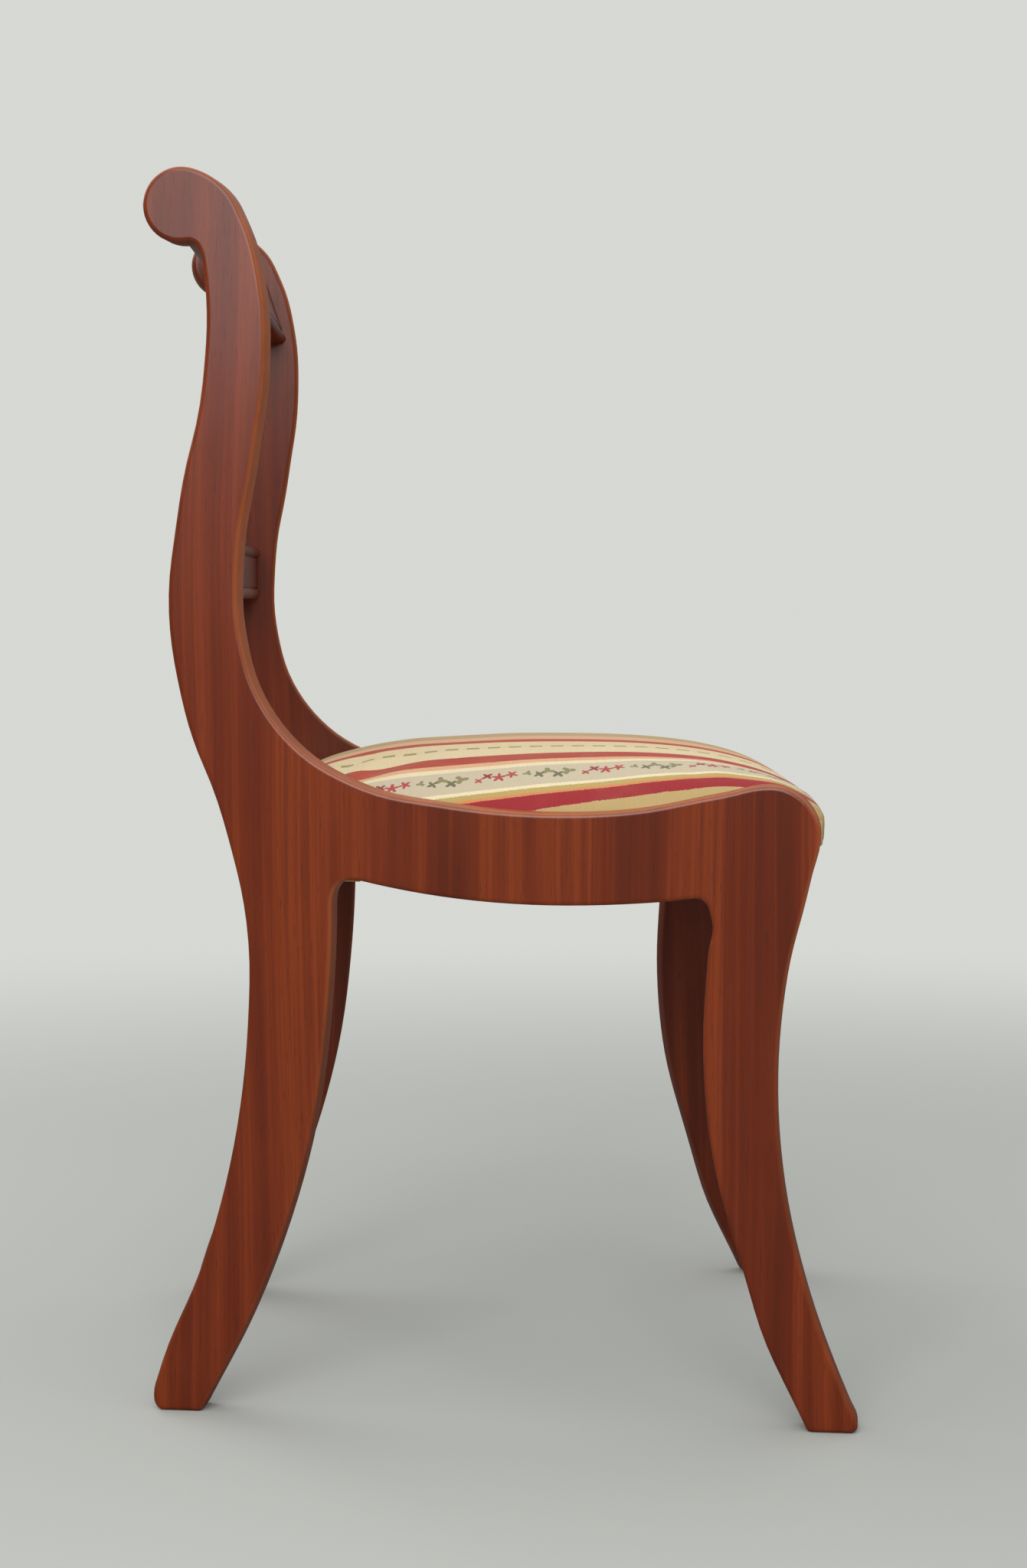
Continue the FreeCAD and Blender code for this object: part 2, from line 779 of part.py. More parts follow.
# Each corner: its side, the rail face that it stands against and the way in from that rail
CORNERS = {
    "front_right": ("right", FRONT_RAIL_BACK, 1),
    "front_left": ("left", FRONT_RAIL_BACK, 1),
    "back_right": ("right", BACK_RAIL_FRONT, -1),
    "back_left": ("left", BACK_RAIL_FRONT, -1),
}
BLOCK_TIP = size("block_tip")


def corner_block(corner):
    """A triangular glue block with blunt tips."""
    side, rail_y, inward = CORNERS[corner]
    toward_middle = Vector(-SIDES[side], 0, 0)
    away = Vector(0, inward, 0)
    rail_end = inner_point(side, rail_y) + toward_middle * BLOCK_LEG
    frame_end = inner_point(side, rail_y + inward * BLOCK_LEG)
    corners = [inner_point(side, rail_y), frame_end, frame_end + toward_middle * BLOCK_TIP,
               rail_end + away * BLOCK_TIP, rail_end]
    low = REST - size("block_height")
    face = Part.Face(polygon([point + Vector(0, 0, low) for point in corners]))
    return feature_of("corner_block_" + corner, face.extrude(Vector(0, 0, size("block_height"))))


# Drop-in seat: dust cover, frame, webbing, hessian and the crowned cushion that wraps the frame

COVER = size("cover_thickness")
SEAT_SIDE_GAP = size("seat_clearance") + COVER
SEAT_BACK = BACK_RAIL_FRONT + size("back_rebate") - SEAT_SIDE_GAP
NOSE = ahead(size("seat_nose_reach"))
SEAT_FRONT = NOSE + size("seat_nose_depth")
DUST_LOW = REST + size("seat_rest_gap")
SEAT_LOW = DUST_LOW + size("dust_cover_thickness")
SEAT_HIGH = SEAT_LOW + size("seat_rail_thickness")
WEB_HIGH = SEAT_HIGH + 2 * size("web_thickness")
PAD_LOW = WEB_HIGH + size("hessian_thickness")
RAIL_WIDTH = size("seat_rail_width")


def seat_tenons(side):
    """The tenons of one side rail, into the front rail and the back rail."""
    half, length = size("seat_tenon_width") / 2, size("seat_tenon_length")
    middle, half_thick = (SEAT_LOW + SEAT_HIGH) / 2, size("seat_tenon_thickness") / 2
    tenons = []
    for joint, way in ((SEAT_FRONT + RAIL_WIDTH, -1), (SEAT_BACK - RAIL_WIDTH, 1)):
        x = SIDES[side] * (inner_half_width(joint) - SEAT_SIDE_GAP - RAIL_WIDTH / 2)
        ends = sorted((joint - way * TENON_ROOT, joint + way * length))
        plan = [(x - half, ends[0]), (x + half, ends[0]), (x + half, ends[1]), (x - half, ends[1])]
        tenons.append(prism(plan, middle - half_thick, middle + half_thick))
    return tenons


def seat_cross_rail(name, plan):
    """The seat frame's front or back rail, mortised for the side rails."""
    tenons = seat_tenons("right") + seat_tenons("left")
    rail = prism(plan, SEAT_LOW, SEAT_HIGH).cut(Part.makeCompound(tenons))
    return feature_of(name, rail.Solids[0])


def seat_side_rail(side):
    front, back = SEAT_FRONT + RAIL_WIDTH, SEAT_BACK - RAIL_WIDTH
    gap = SEAT_SIDE_GAP / math.cos(SPLAY)
    width = RAIL_WIDTH / math.cos(SPLAY)
    sign = SIDES[side]
    outer_front, outer_back = inner_half_width(front) - gap, inner_half_width(back) - gap
    plan = [(sign * outer_front, front), (sign * outer_back, back),
            (sign * (outer_back - width), back), (sign * (outer_front - width), front)]
    rail = prism(plan, SEAT_LOW, SEAT_HIGH).fuse(seat_tenons(side)).removeSplitter()
    return feature_of("seat_frame_" + side, rail.Solids[0])


def spaced(low, high, width, gap):
    """The centres of bands of one width, evenly spread with at least this gap."""
    count = int((high - low + gap) / (width + gap))
    pitch = (high - low - width) / (count - 1)
    return [low + width / 2 + pitch * index for index in range(count)]


WEB_INSET = size("web_inset")


def webbing_lengthwise():
    half = inner_half_width(SEAT_BACK) - SEAT_SIDE_GAP - RAIL_WIDTH / 2
    width = size("web_width")
    bands = [
        prism([(x - width / 2, SEAT_FRONT + WEB_INSET), (x + width / 2, SEAT_FRONT + WEB_INSET),
               (x + width / 2, SEAT_BACK - WEB_INSET), (x - width / 2, SEAT_BACK - WEB_INSET)],
              SEAT_HIGH, SEAT_HIGH + size("web_thickness"))
        for x in spaced(-half, half, width, size("web_gap"))]
    return feature_of("webbing_lengthwise", Part.makeCompound(bands))


def webbing_crosswise():
    width = size("web_width")
    low, high = SEAT_FRONT + RAIL_WIDTH / 2, SEAT_BACK - RAIL_WIDTH / 2
    bands = [
        prism(between(y - width / 2, y + width / 2, SEAT_SIDE_GAP + WEB_INSET),
              SEAT_HIGH + size("web_thickness"), WEB_HIGH)
        for y in spaced(low, high, width, size("web_gap"))]
    return feature_of("webbing_crosswise", Part.makeCompound(bands))


def hessian():
    inset = WEB_INSET - 2.0
    plan = between(SEAT_FRONT + inset, SEAT_BACK - inset, SEAT_SIDE_GAP + inset)
    return feature_of("hessian", prism(plan, WEB_HIGH, PAD_LOW))


def dust_cover():
    inset = 2.0
    plan = between(SEAT_FRONT + inset, SEAT_BACK - inset, SEAT_SIDE_GAP + inset)
    return feature_of("dust_cover", prism(plan, DUST_LOW, SEAT_LOW))


# The cushion's sections from back to nose: the share of the way forward, the share of the
# crown's height, how far the sides draw in, and how far the underside rises
CUSHION_SECTIONS = [
    (0.000, 0.40, 2.5, 0.0),
    (0.020, 0.53, 0.6, 0.0),
    (0.085, 0.70, 0.0, 0.0),
    (0.220, 0.88, 0.0, 0.0),
    (0.465, 0.99, 0.0, 0.0),
    (0.660, 1.00, 0.0, 0.0),
    (0.795, 0.92, 0.0, 0.0),
    (0.890, 0.70, 0.0, 0.0),
    (0.942, 0.48, 0.2, 0.0),
    (0.974, 0.27, 1.0, 1.0),
    (0.992, 0.11, 3.5, 6.5),
    (1.000, -0.02, 8.0, 13.0),
]
SIDE_TOP = RAIL_TOP - 2.0
SHOULDER = 0.72
SHOULDER_RISE = 0.80


def cushion_section(y, crown, draw_in, lift):
    """A section across the cushion: a flat underside, upright sides and a crown of three arcs."""
    half = inner_half_width(y) - size("seat_clearance") / math.cos(SPLAY) - draw_in
    low = SEAT_LOW + lift
    rise = max(crown - SIDE_TOP, 4.0)
    side_top = min(SIDE_TOP, crown - rise)
    shoulder = Vector(half * SHOULDER, y, side_top + rise * SHOULDER_RISE)
    mirror = Vector(-shoulder.x, y, shoulder.z)
    top = Part.Arc(mirror, Vector(0, y, crown), shoulder)
    leaving = top.tangent(top.LastParameter)[0]
    right_edge = Vector(half, y, side_top)
    right = arc_leaving(shoulder, leaving, right_edge)
    bulge = right.value((right.FirstParameter + right.LastParameter) / 2)
    left_edge = Vector(-half, y, side_top)
    left = Part.Arc(left_edge, Vector(-bulge.x, y, bulge.z), mirror)
    return Part.Wire([edge.toShape() for edge in (
        Part.LineSegment(Vector(-half, y, low), left_edge), left, top, right,
        Part.LineSegment(right_edge, Vector(half, y, low)),
        Part.LineSegment(Vector(half, y, low), Vector(-half, y, low)))])


def seat_cushion():
    """The crowned pad in its cover, hollow below where it wraps the seat frame."""
    back = SEAT_BACK + COVER
    wires = []
    for forward, crown_share, draw_in, lift in CUSHION_SECTIONS:
        y = back + (NOSE - back) * forward
        crown = RAIL_TOP + size("seat_crown_rise") * crown_share
        wires.append(cushion_section(y, crown, draw_in, lift))
    pad_solid = Part.makeLoft(wires, True, True)
    wrapped = prism(between(SEAT_FRONT, SEAT_BACK, SEAT_SIDE_GAP), SEAT_LOW - 5, PAD_LOW)
    cushion = pad_solid.cut(wrapped)
    return feature_of("seat_cushion", max(cushion.Solids, key=lambda solid: solid.Volume))


parts = {}


def keep(feature):
    parts[feature.Label] = feature
    return feature


for frame_side in SIDES:
    keep(side_frame(frame_side))
keep(crest_rail())
keep(lower_back_rail())
keep(front_seat_rail())
keep(back_seat_rail())
keep(lyre_base())
lyre_arms = [keep(lyre_arm("lyre_arm_" + side, sign)) for side, sign in SIDES.items()]
keep(lyre_yoke(lyre_arms))
keep(lyre_strings())
for bearer_side in SIDES:
    keep(seat_bearer(bearer_side))
for corner_name in CORNERS:
    keep(corner_block(corner_name))
keep(seat_cross_rail("seat_frame_front", between(SEAT_FRONT, SEAT_FRONT + RAIL_WIDTH, SEAT_SIDE_GAP)))
keep(seat_cross_rail("seat_frame_back", between(SEAT_BACK - RAIL_WIDTH, SEAT_BACK, SEAT_SIDE_GAP)))
for rail_side in SIDES:
    keep(seat_side_rail(rail_side))
keep(webbing_lengthwise())
keep(webbing_crosswise())
keep(hessian())
keep(seat_cushion())
keep(dust_cover())

doc.recompute()
for name, feature in parts.items():
    bad_state = [word for word in feature.State if word in ("Invalid", "Error")]
    shape = feature.Shape
    if bad_state or shape.isNull() or not shape.isValid() or shape.Volume <= 0:
        raise RuntimeError(f"{name} is not sound: {feature.State}")
for each in doc.Objects:
    if "Invalid" in each.State or "Error" in each.State:
        raise RuntimeError(f"{each.Name} failed: {each.State}")

os.makedirs("parts", exist_ok=True)
for name, feature in parts.items():
    feature.Shape.exportStep(f"parts/{name}.step")
    box = feature.Shape.BoundBox
    print(f"{name}: {feature.Shape.Volume / 1000:.1f} cm3, "
          f"x {box.XMin:.1f} {box.XMax:.1f}, y {box.YMin:.1f} {box.YMax:.1f}, z {box.ZMin:.1f} {box.ZMax:.1f}")
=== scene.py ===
# %% [markdown]
# # A lyre back chair
#
# The chair is a side chair with sabre legs. Each side is one flat board, cut to a long S from its
# scrolled top to its feet, and the two boards splay a little towards the front. Rails join them, a
# lyre strung with brass rods stands in the back, and a striped seat drops in between the boards.
#
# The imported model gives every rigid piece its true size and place. Here the pieces get the finish
# of the real chair: eased edges, polished mahogany, brass, and a stuffed seat in woven cloth.

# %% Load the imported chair
import bpy
import bmesh
import math
import numpy as np
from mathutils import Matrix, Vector


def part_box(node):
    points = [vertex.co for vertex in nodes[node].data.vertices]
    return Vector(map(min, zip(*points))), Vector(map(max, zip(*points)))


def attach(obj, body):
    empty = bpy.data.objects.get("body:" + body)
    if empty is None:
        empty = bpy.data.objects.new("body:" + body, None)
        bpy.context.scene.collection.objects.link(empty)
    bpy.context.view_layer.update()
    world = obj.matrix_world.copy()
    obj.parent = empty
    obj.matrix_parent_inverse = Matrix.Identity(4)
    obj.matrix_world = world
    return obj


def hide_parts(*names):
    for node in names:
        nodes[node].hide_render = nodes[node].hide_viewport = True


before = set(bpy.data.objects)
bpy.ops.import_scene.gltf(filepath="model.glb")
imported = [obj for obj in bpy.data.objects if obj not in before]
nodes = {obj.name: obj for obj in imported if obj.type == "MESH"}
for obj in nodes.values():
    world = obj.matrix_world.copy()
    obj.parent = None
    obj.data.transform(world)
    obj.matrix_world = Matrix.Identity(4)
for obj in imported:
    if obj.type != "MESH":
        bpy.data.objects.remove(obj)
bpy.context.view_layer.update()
FRAME_BODY = "chair_frame"
SEAT_BODY = "drop_in_seat"
MM = 0.001


# %% [markdown]
# ## The camera
#
# The photograph is taken square from one side, a little above the seat, with the whole chair in an
# upright picture. A camera fit to both side boards gives its place. The lens is long and far away,
# so the near and the far board differ only a little in size.

# %% Place the camera
CAMERA_PLACE = Vector((-2.1419, 0.0280, 0.5583))
CAMERA_WAY = Vector((0.99783, -0.01816, -0.06346))
LENS = 66.09


def put_in_scene(name, data):
    thing = bpy.data.objects.new(name, data)
    bpy.context.scene.collection.objects.link(thing)
    return thing


camera_data = bpy.data.cameras.new("photo_camera")
camera_data.sensor_fit = "VERTICAL"
camera_data.sensor_height = 36.0
camera_data.sensor_width = 36.0
camera_data.lens = LENS
camera = put_in_scene("photo_camera", camera_data)
camera.location = CAMERA_PLACE
camera.rotation_euler = CAMERA_WAY.to_track_quat("-Z", "Y").to_euler()
bpy.context.scene.camera = camera
bpy.context.scene.view_settings.view_transform = "Standard"
print("camera:", round(CAMERA_PLACE.length, 2), "m from the middle of the floor, lens:", LENS, "mm")


# %% [markdown]
# ## Helpers for node trees
#
# Every finish and every repeated fastener below is a tree of nodes. A tree reads well when a node,
# its settings and what flows into it stand in one call, so one helper adds a node and feeds each
# input either a plain value or the socket of another node. The others are the steps used most.

# %% Small helpers that add nodes
def feed(tree, node, inputs):
    """Gives each named input a plain value, or a link from a socket."""
    for label, value in inputs.items():
        if isinstance(value, bpy.types.NodeSocket):
            tree.links.new(value, node.inputs[label])
        else:
            node.inputs[label].default_value = value


def add_node(tree, kind, inputs=None, **settings):
    node = tree.nodes.new(kind)
    for name, value in settings.items():
        setattr(node, name, value)
    feed(tree, node, inputs or {})
    return node


def ops(tree, operation, *operands):
    """A math node; each operand is a socket or a number."""
    return add_node(tree, "ShaderNodeMath", dict(enumerate(operands)), operation=operation).outputs[0]


def ramp(tree, value, low, high, least=0.0, most=1.0):
    """The least below low, the most above high, and smooth between."""
    limits = {"From Min": low, "From Max": high, "To Min": least, "To Max": most}
    return add_node(tree, "ShaderNodeMapRange", {"Value": value, **limits},
                    interpolation_type="SMOOTHSTEP").outputs["Result"]


def blend_colours(tree, factor, first, second, way="MIX"):
    return add_node(tree, "ShaderNodeMix", {0: factor, 6: first, 7: second},
                    data_type="RGBA", blend_type=way).outputs[2]


def noise(tree, vector, scale, detail=2.0, roughness=0.5):
    """Soft noise; the scale is one number, or one for each axis."""
    if isinstance(scale, tuple):
        wide = add_node(tree, "ShaderNodeVectorMath", {0: vector, 1: scale}, operation="MULTIPLY")
        vector, scale = wide.outputs[0], 1.0
    return add_node(tree, "ShaderNodeTexNoise", {"Vector": vector, "Scale": scale, "Detail": detail,
                                                 "Roughness": roughness}).outputs["Fac"]


# %% [markdown]
# ## Floor and light
#
# A plain pale floor carries the chair's shadow. Far from the chair it fades into the same pale tone
# as the world, so no horizon cuts through the picture. Polish would mirror a pale floor as a grey
# veil, so glossy rays meet a darker one. The room is dim low down and bright above, which keeps the
# tall faces deep in colour and lights the rounded edges that look up. The wall behind the chair is
# a little brighter, and draws a thin pale line on the far edges. One wide lamp stands on the
# camera's side, low enough to show as a sheen on the upper half of the back, and a weaker one fills
# from behind.

# %% Make the floor
PALE = (0.68, 0.69, 0.66, 1.0)
FLOOR_TONE = (0.42, 0.43, 0.41, 1.0)
FLOOR_SHEEN = (0.10, 0.10, 0.10, 1.0)
FADE_START, FADE_END = 0.9, 2.6
FLOOR_RADIUS = 9.0


def circle(radius, height, sides):
    turns = [2 * math.pi * k / sides for k in range(sides)]
    return [(radius * math.cos(turn), radius * math.sin(turn), height) for turn in turns]


def make_floor_material():
    material = bpy.data.materials.new("pale_floor")
    material.use_nodes = True
    tree = material.node_tree
    tree.nodes.clear()
    ray = add_node(tree, "ShaderNodeLightPath").outputs
    place = add_node(tree, "ShaderNodeTexCoord").outputs["Object"]
    reach = add_node(tree, "ShaderNodeVectorMath", {0: place}, operation="LENGTH").outputs["Value"]
    faded = ops(tree, "MULTIPLY", ramp(tree, reach, FADE_START, FADE_END), ray["Is Camera Ray"])
    tone = blend_colours(tree, ray["Is Glossy Ray"], FLOOR_TONE, FLOOR_SHEEN)
    matt = add_node(tree, "ShaderNodeBsdfPrincipled", {"Base Color": tone, "Roughness": 0.85})
    glow = add_node(tree, "ShaderNodeEmission", {"Color": PALE})
    mix = add_node(tree, "ShaderNodeMixShader", {0: faded, 1: matt.outputs[0], 2: glow.outputs[0]})
    add_node(tree, "ShaderNodeOutputMaterial", {"Surface": mix.outputs[0]})
    return material


floor_mesh = bpy.data.meshes.new("floor")
floor_mesh.from_pydata(circle(FLOOR_RADIUS, 0.0, 96), [], [list(range(96))])
floor_mesh.materials.append(make_floor_material())
floor = put_in_scene("floor", floor_mesh)
print("floor radius:", FLOOR_RADIUS, "m, fading from", FADE_START, "to", FADE_END, "m")


# %% Light the room
ROOM_TONE = (0.80, 0.81, 0.79, 1.0)

world = bpy.data.worlds.new("pale_room")
bpy.context.scene.world = world
world.use_nodes = True
room = world.node_tree
way = add_node(room, "ShaderNodeTexCoord").outputs["Generated"]
split = add_node(room, "ShaderNodeSeparateXYZ", {0: way}).outputs
above = ramp(room, split["Z"], 0.0, 0.75, least=0.10, most=1.15)
behind = ramp(room, split["X"], 0.2, 0.8, most=0.12)
lit = room.nodes["Background"]
feed(room, lit, {"Color": ROOM_TONE, "Strength": ops(room, "ADD", above, behind)})
seen = add_node(room, "ShaderNodeBackground", {"Color": PALE, "Strength": 1.0})
ray = add_node(room, "ShaderNodeLightPath").outputs
shown = {0: ray["Is Camera Ray"], 1: lit.outputs[0], 2: seen.outputs[0]}
choose = add_node(room, "ShaderNodeMixShader", shown)
feed(room, room.nodes["World Output"], {"Surface": choose.outputs[0]})
print("world:", world.name, "with", len(room.nodes), "nodes")


def add_lamp(name, place, aim, width, power):
    lamp = bpy.data.lights.new(name, "AREA")
    lamp.shape = "SQUARE"
    lamp.size = width
    lamp.energy = power
    holder = put_in_scene(name, lamp)
    holder.location = place
    holder.rotation_euler = (Vector(aim) - Vector(place)).to_track_quat("-Z", "Y").to_euler()
    print(name, "power:", power, "W")


add_lamp("key_lamp", (-2.5, 0.35, 1.84), (0.0, 0.0, 0.62), 2.0, 54.0)
add_lamp("back_lamp", (1.6, 1.8, 2.2), (0.0, 0.0, 0.5), 2.0, 22.0)


# %% [markdown]
# ## Shared effects for the materials
#
# Mahogany from one log shows ribbon stripes: bands of light and dark, a centimetre or two wide,
# that run along the grain, with fine lines and short dark pores inside them. Several pieces need it
# in several tones, so it is one node group with named inputs. The grain runs along Z of whatever
# vector comes in, and a piece cut along another axis turns its vector first.

# %% A group for ribbon-striped wood
PORE = (0.035, 0.010, 0.004, 1)
VECTOR, COLOUR, NUMBER = "NodeSocketVector", "NodeSocketColor", "NodeSocketFloat"


def new_group(name, inputs, outputs):
    """A shader group; inputs are given as name: (kind, default) and outputs as name: kind."""
    tree = bpy.data.node_groups.new(name, "ShaderNodeTree")
    for label, (kind, default) in inputs.items():
        socket = tree.interface.new_socket(label, in_out="INPUT", socket_type=kind)
        if default is not None:
            socket.default_value = default
    for label, kind in outputs.items():
        tree.interface.new_socket(label, in_out="OUTPUT", socket_type=kind)
    return tree, add_node(tree, "NodeGroupInput").outputs, add_node(tree, "NodeGroupOutput")


def make_ribbon_wood():
    tree, given, put = new_group(
        "ribbon_wood",
        {"Vector": (VECTOR, None), "Dark": (COLOUR, (0.1, 0.03, 0.01, 1)),
         "Middle": (COLOUR, (0.2, 0.05, 0.015, 1)), "Light": (COLOUR, (0.3, 0.09, 0.03, 1)),
         "Polish": (NUMBER, 0.3)},
        {"Color": COLOUR, "Roughness": NUMBER, "Height": NUMBER})
    vector, dark, light = given["Vector"], given["Dark"], given["Light"]
    sway = ops(tree, "SUBTRACT", noise(tree, vector, (3.0, 3.0, 2.2), 1.0), 0.5)
    shift = add_node(tree, "ShaderNodeCombineXYZ", {"Y": ops(tree, "MULTIPLY", sway, 0.035)}).outputs[0]
    bent = add_node(tree, "ShaderNodeVectorMath", {0: vector, 1: shift}, operation="ADD").outputs[0]
    bands = noise(tree, bent, (44.0, 44.0, 0.8), 1.5)
    streaks = noise(tree, bent, (135.0, 135.0, 1.6), 2.0, 0.6)
    lines = noise(tree, bent, (420.0, 420.0, 5.0), 2.0, 0.6)
    flame = noise(tree, vector, (16.0, 16.0, 7.0))
    pores = ramp(tree, noise(tree, vector, (1500.0, 1500.0, 70.0), 1.0), 0.64, 0.72)
    colour = blend_colours(tree, ramp(tree, bands, 0.33, 0.50), dark, given["Middle"])
    colour = blend_colours(tree, ramp(tree, bands, 0.50, 0.68), colour, light)
    layers = [(ramp(tree, streaks, 0.52, 0.66), 0.45, light), (ramp(tree, streaks, 0.48, 0.36), 0.45, dark),
              (ramp(tree, lines, 0.60, 0.42), 0.30, dark), (ramp(tree, flame, 0.45, 0.75), 0.30, light),
              (pores, 0.45, PORE)]
    for mask, strength, tone in layers:
        colour = blend_colours(tree, ops(tree, "MULTIPLY", mask, strength), colour, tone)
    rough = ops(tree, "ADD", given["Polish"], ops(tree, "MULTIPLY", lines, 0.10))
    height = ops(tree, "SUBTRACT", ops(tree, "MULTIPLY", lines, 0.25), pores)
    feed(tree, put, {"Color": colour, "Roughness": rough, "Height": height})
    return tree


ribbon_wood = make_ribbon_wood()
print("made the group", ribbon_wood.name, "with", len(ribbon_wood.nodes), "nodes")


# %% [markdown]
# Cloth shows its weave up close: raised yarns that cross over and under. A second group makes that
# from two sets of waves, paints shade into the low places between the yarns, and adds the small
# unevenness in colour that yarn always has.

# %% A group for woven cloth
def make_weave():
    tree, given, put = new_group(
        "weave",
        {"Vector": (VECTOR, None), "Cloth": (COLOUR, (0.5, 0.5, 0.5, 1)),
         "Yarns per metre": (NUMBER, 1400.0), "Contrast": (NUMBER, 0.25)},
        {"Color": COLOUR, "Height": NUMBER})
    split = add_node(tree, "ShaderNodeSeparateXYZ", {0: given["Vector"]}).outputs
    turns = ops(tree, "MULTIPLY", given["Yarns per metre"], math.pi)
    warp, weft = [ops(tree, "SINE", ops(tree, "MULTIPLY", split[axis], turns)) for axis in "XY"]
    rise = ops(tree, "ABSOLUTE", ops(tree, "MULTIPLY", warp, weft))
    slub = noise(tree, given["Vector"], (60.0, 900.0, 200.0))
    # Painted shade where the yarns sink, mixed with the yarn's own unevenness: the colour darkens as the
    # height falls.
    shade = ops(tree, "MULTIPLY", ops(tree, "ADD", ops(tree, "SUBTRACT", 1.0, rise), slub),
                ops(tree, "MULTIPLY", given["Contrast"], 0.5))
    darker = blend_colours(tree, 1.0, given["Cloth"], (0.35, 0.30, 0.25, 1), "MULTIPLY")
    feed(tree, put, {"Color": blend_colours(tree, shade, given["Cloth"], darker), "Height": rise})
    return tree


weave = make_weave()
print("made the group", weave.name, "with", len(weave.nodes), "nodes")


# %% [markdown]
# ## Mahogany
#
# The boards are polished with shellac: a coat that is smoother than the wood below. On the rounded
# edges the stain is thinner and the polish has thinned with use, and their colour is painted lighter:
# partly from rubbing, partly as a painted highlight where the edges face up or forwards and stand
# higher. The side boards carry two attributes: one is 1 on their edges, where the polish is duller,
# and one says how much lighter each edge is painted.

# %% Make the mahogany and the beech
def rgb(red, green, blue):
    """A screen colour from 0 to 255, as the linear colour that nodes use."""
    def linear(channel):
        part = channel / 255
        return part / 12.92 if part <= 0.04045 else ((part + 0.055) / 1.055) ** 2.4
    return (linear(red), linear(green), linear(blue), 1.0)


def new_material(name):
    material = bpy.data.materials.new(name)
    material.use_nodes = True
    return material, material.node_tree, material.node_tree.nodes["Principled BSDF"]


def bump(tree, height, strength, distance):
    return add_node(tree, "ShaderNodeBump", {"Height": height, "Strength": strength,
                                             "Distance": distance}).outputs[0]


def object_vector(tree, grain="Z"):
    """Object coordinates, with the axis of the grain turned to Z."""
    where = add_node(tree, "ShaderNodeTexCoord").outputs["Object"]
    if grain == "Z":
        return where
    split = add_node(tree, "ShaderNodeSeparateXYZ", {0: where}).outputs
    order = {"X": "ZYX", "Y": "XZY"}[grain]
    turned = {target: split[source] for target, source in zip("XYZ", order)}
    return add_node(tree, "ShaderNodeCombineXYZ", turned).outputs[0]


def attribute(tree, name):
    return add_node(tree, "ShaderNodeAttribute", attribute_name=name).outputs["Fac"]


def make_wood(name, tones, polish, grain="Z", coat=0.09, specular=0.22, rough_bump=0.12):
    material, tree, surface = new_material(name)
    wood = add_node(tree, "ShaderNodeGroup", {"Vector": object_vector(tree, grain), "Polish": polish,
                                              **tones}, node_tree=ribbon_wood).outputs
    feed(tree, surface, {"Base Color": wood["Color"], "Roughness": wood["Roughness"], "Coat Weight": coat,
                         "Coat Roughness": 0.14, "Specular IOR Level": specular,
                         "Normal": bump(tree, wood["Height"], rough_bump, 0.0006)})
    return material


def make_board_wood(name, tones, polish, worn_and_highlit):
    """The same wood, with dull polish and a lighter edge colour, partly rubbing and partly a painted
    highlight, where the board's attributes say so.
    """
    material = make_wood(name, tones, polish)
    tree = material.node_tree
    surface = tree.nodes["Principled BSDF"]
    # Painted highlight and rubbing together: the edges are painted lighter by the board's attribute, varied
    # by noise.
    rub_and_highlight = noise(tree, object_vector(tree), 45.0, 3.0, 0.6)
    rubbed_and_lit = ops(tree, "MULTIPLY", attribute(tree, "wear_and_highlight"), ops(tree, "MULTIPLY_ADD", rub_and_highlight, 0.4, 0.45))
    stained = surface.inputs["Base Color"].links[0].from_socket
    polished = ops(tree, "SUBTRACT", 1.0, ramp(tree, attribute(tree, "edge"), 0.90, 0.99))
    feed(tree, surface, {"Base Color": blend_colours(tree, rubbed_and_lit, stained, worn_and_highlit),
                         "Specular IOR Level": ops(tree, "MULTIPLY_ADD", polished, 0.33, 0.03),
                         "Coat Weight": ops(tree, "MULTIPLY", polished, 0.15)})
    return material


MAHOGANY = {"Dark": rgb(90, 29, 4), "Middle": rgb(105, 35, 5), "Light": rgb(128, 50, 12)}
BEECH = {"Dark": rgb(168, 126, 84), "Middle": rgb(190, 150, 106), "Light": rgb(206, 170, 128)}
# The lighter edge colour: partly stain thinned by rubbing, partly a painted highlight.
RUBBED_AND_HIGHLIT = rgb(186, 106, 64)
mahogany_board = make_board_wood("mahogany_board", MAHOGANY, 0.25, RUBBED_AND_HIGHLIT)
mahogany_upright = make_wood("mahogany_upright", MAHOGANY, 0.25)
mahogany_across = make_wood("mahogany_across", MAHOGANY, 0.25, "X")
beech_across = make_wood("beech_across", BEECH, 0.55, "X", coat=0.0, rough_bump=0.2)
beech_along = make_wood("beech_along", BEECH, 0.55, "Y", coat=0.0, rough_bump=0.2)
print("wood materials:", [m.name for m in bpy.data.materials if m.name.startswith(("maho", "beech"))])


# %% [markdown]
# ## The side boards
#
# Each board is a flat outline with every long edge rounded over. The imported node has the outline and
# a plain chamfer; a router bit leaves a true quarter round. So the outline is read from the node's
# own mesh, as the ring of points where the chamfer meets the wall, and the board is built again as
# rings of points that follow the quarter round. One more ring just inside the face keeps the broad
# face flat under smooth shading.

# %% Read a board's outline from its node
SPLAY = math.radians(8.0)
ARRIS = 3.0 * MM
ROUND_STEPS = 5
SIDE_SIGN = {"side_frame_right": -1, "side_frame_left": 1}


def share_of(value, start, stop):
    """0 at start and 1 at stop, smooth between and flat outside."""
    part = min(1.0, max(0.0, (value - start) / (stop - start)))
    return part * part * (3 - 2 * part)


def board_axes(sign):
    """Outwards through the board, and backwards along it."""
    return (Vector((sign * math.cos(SPLAY), math.sin(SPLAY), 0)),
            Vector((-sign * math.sin(SPLAY), math.cos(SPLAY), 0)))


def merged_copy(node_name):
    """The node's mesh with its loose triangles joined at their shared points."""
    mesh = bmesh.new()
    mesh.from_mesh(nodes[node_name].data)
    bmesh.ops.remove_doubles(mesh, verts=mesh.verts, dist=1e-6)
    return mesh


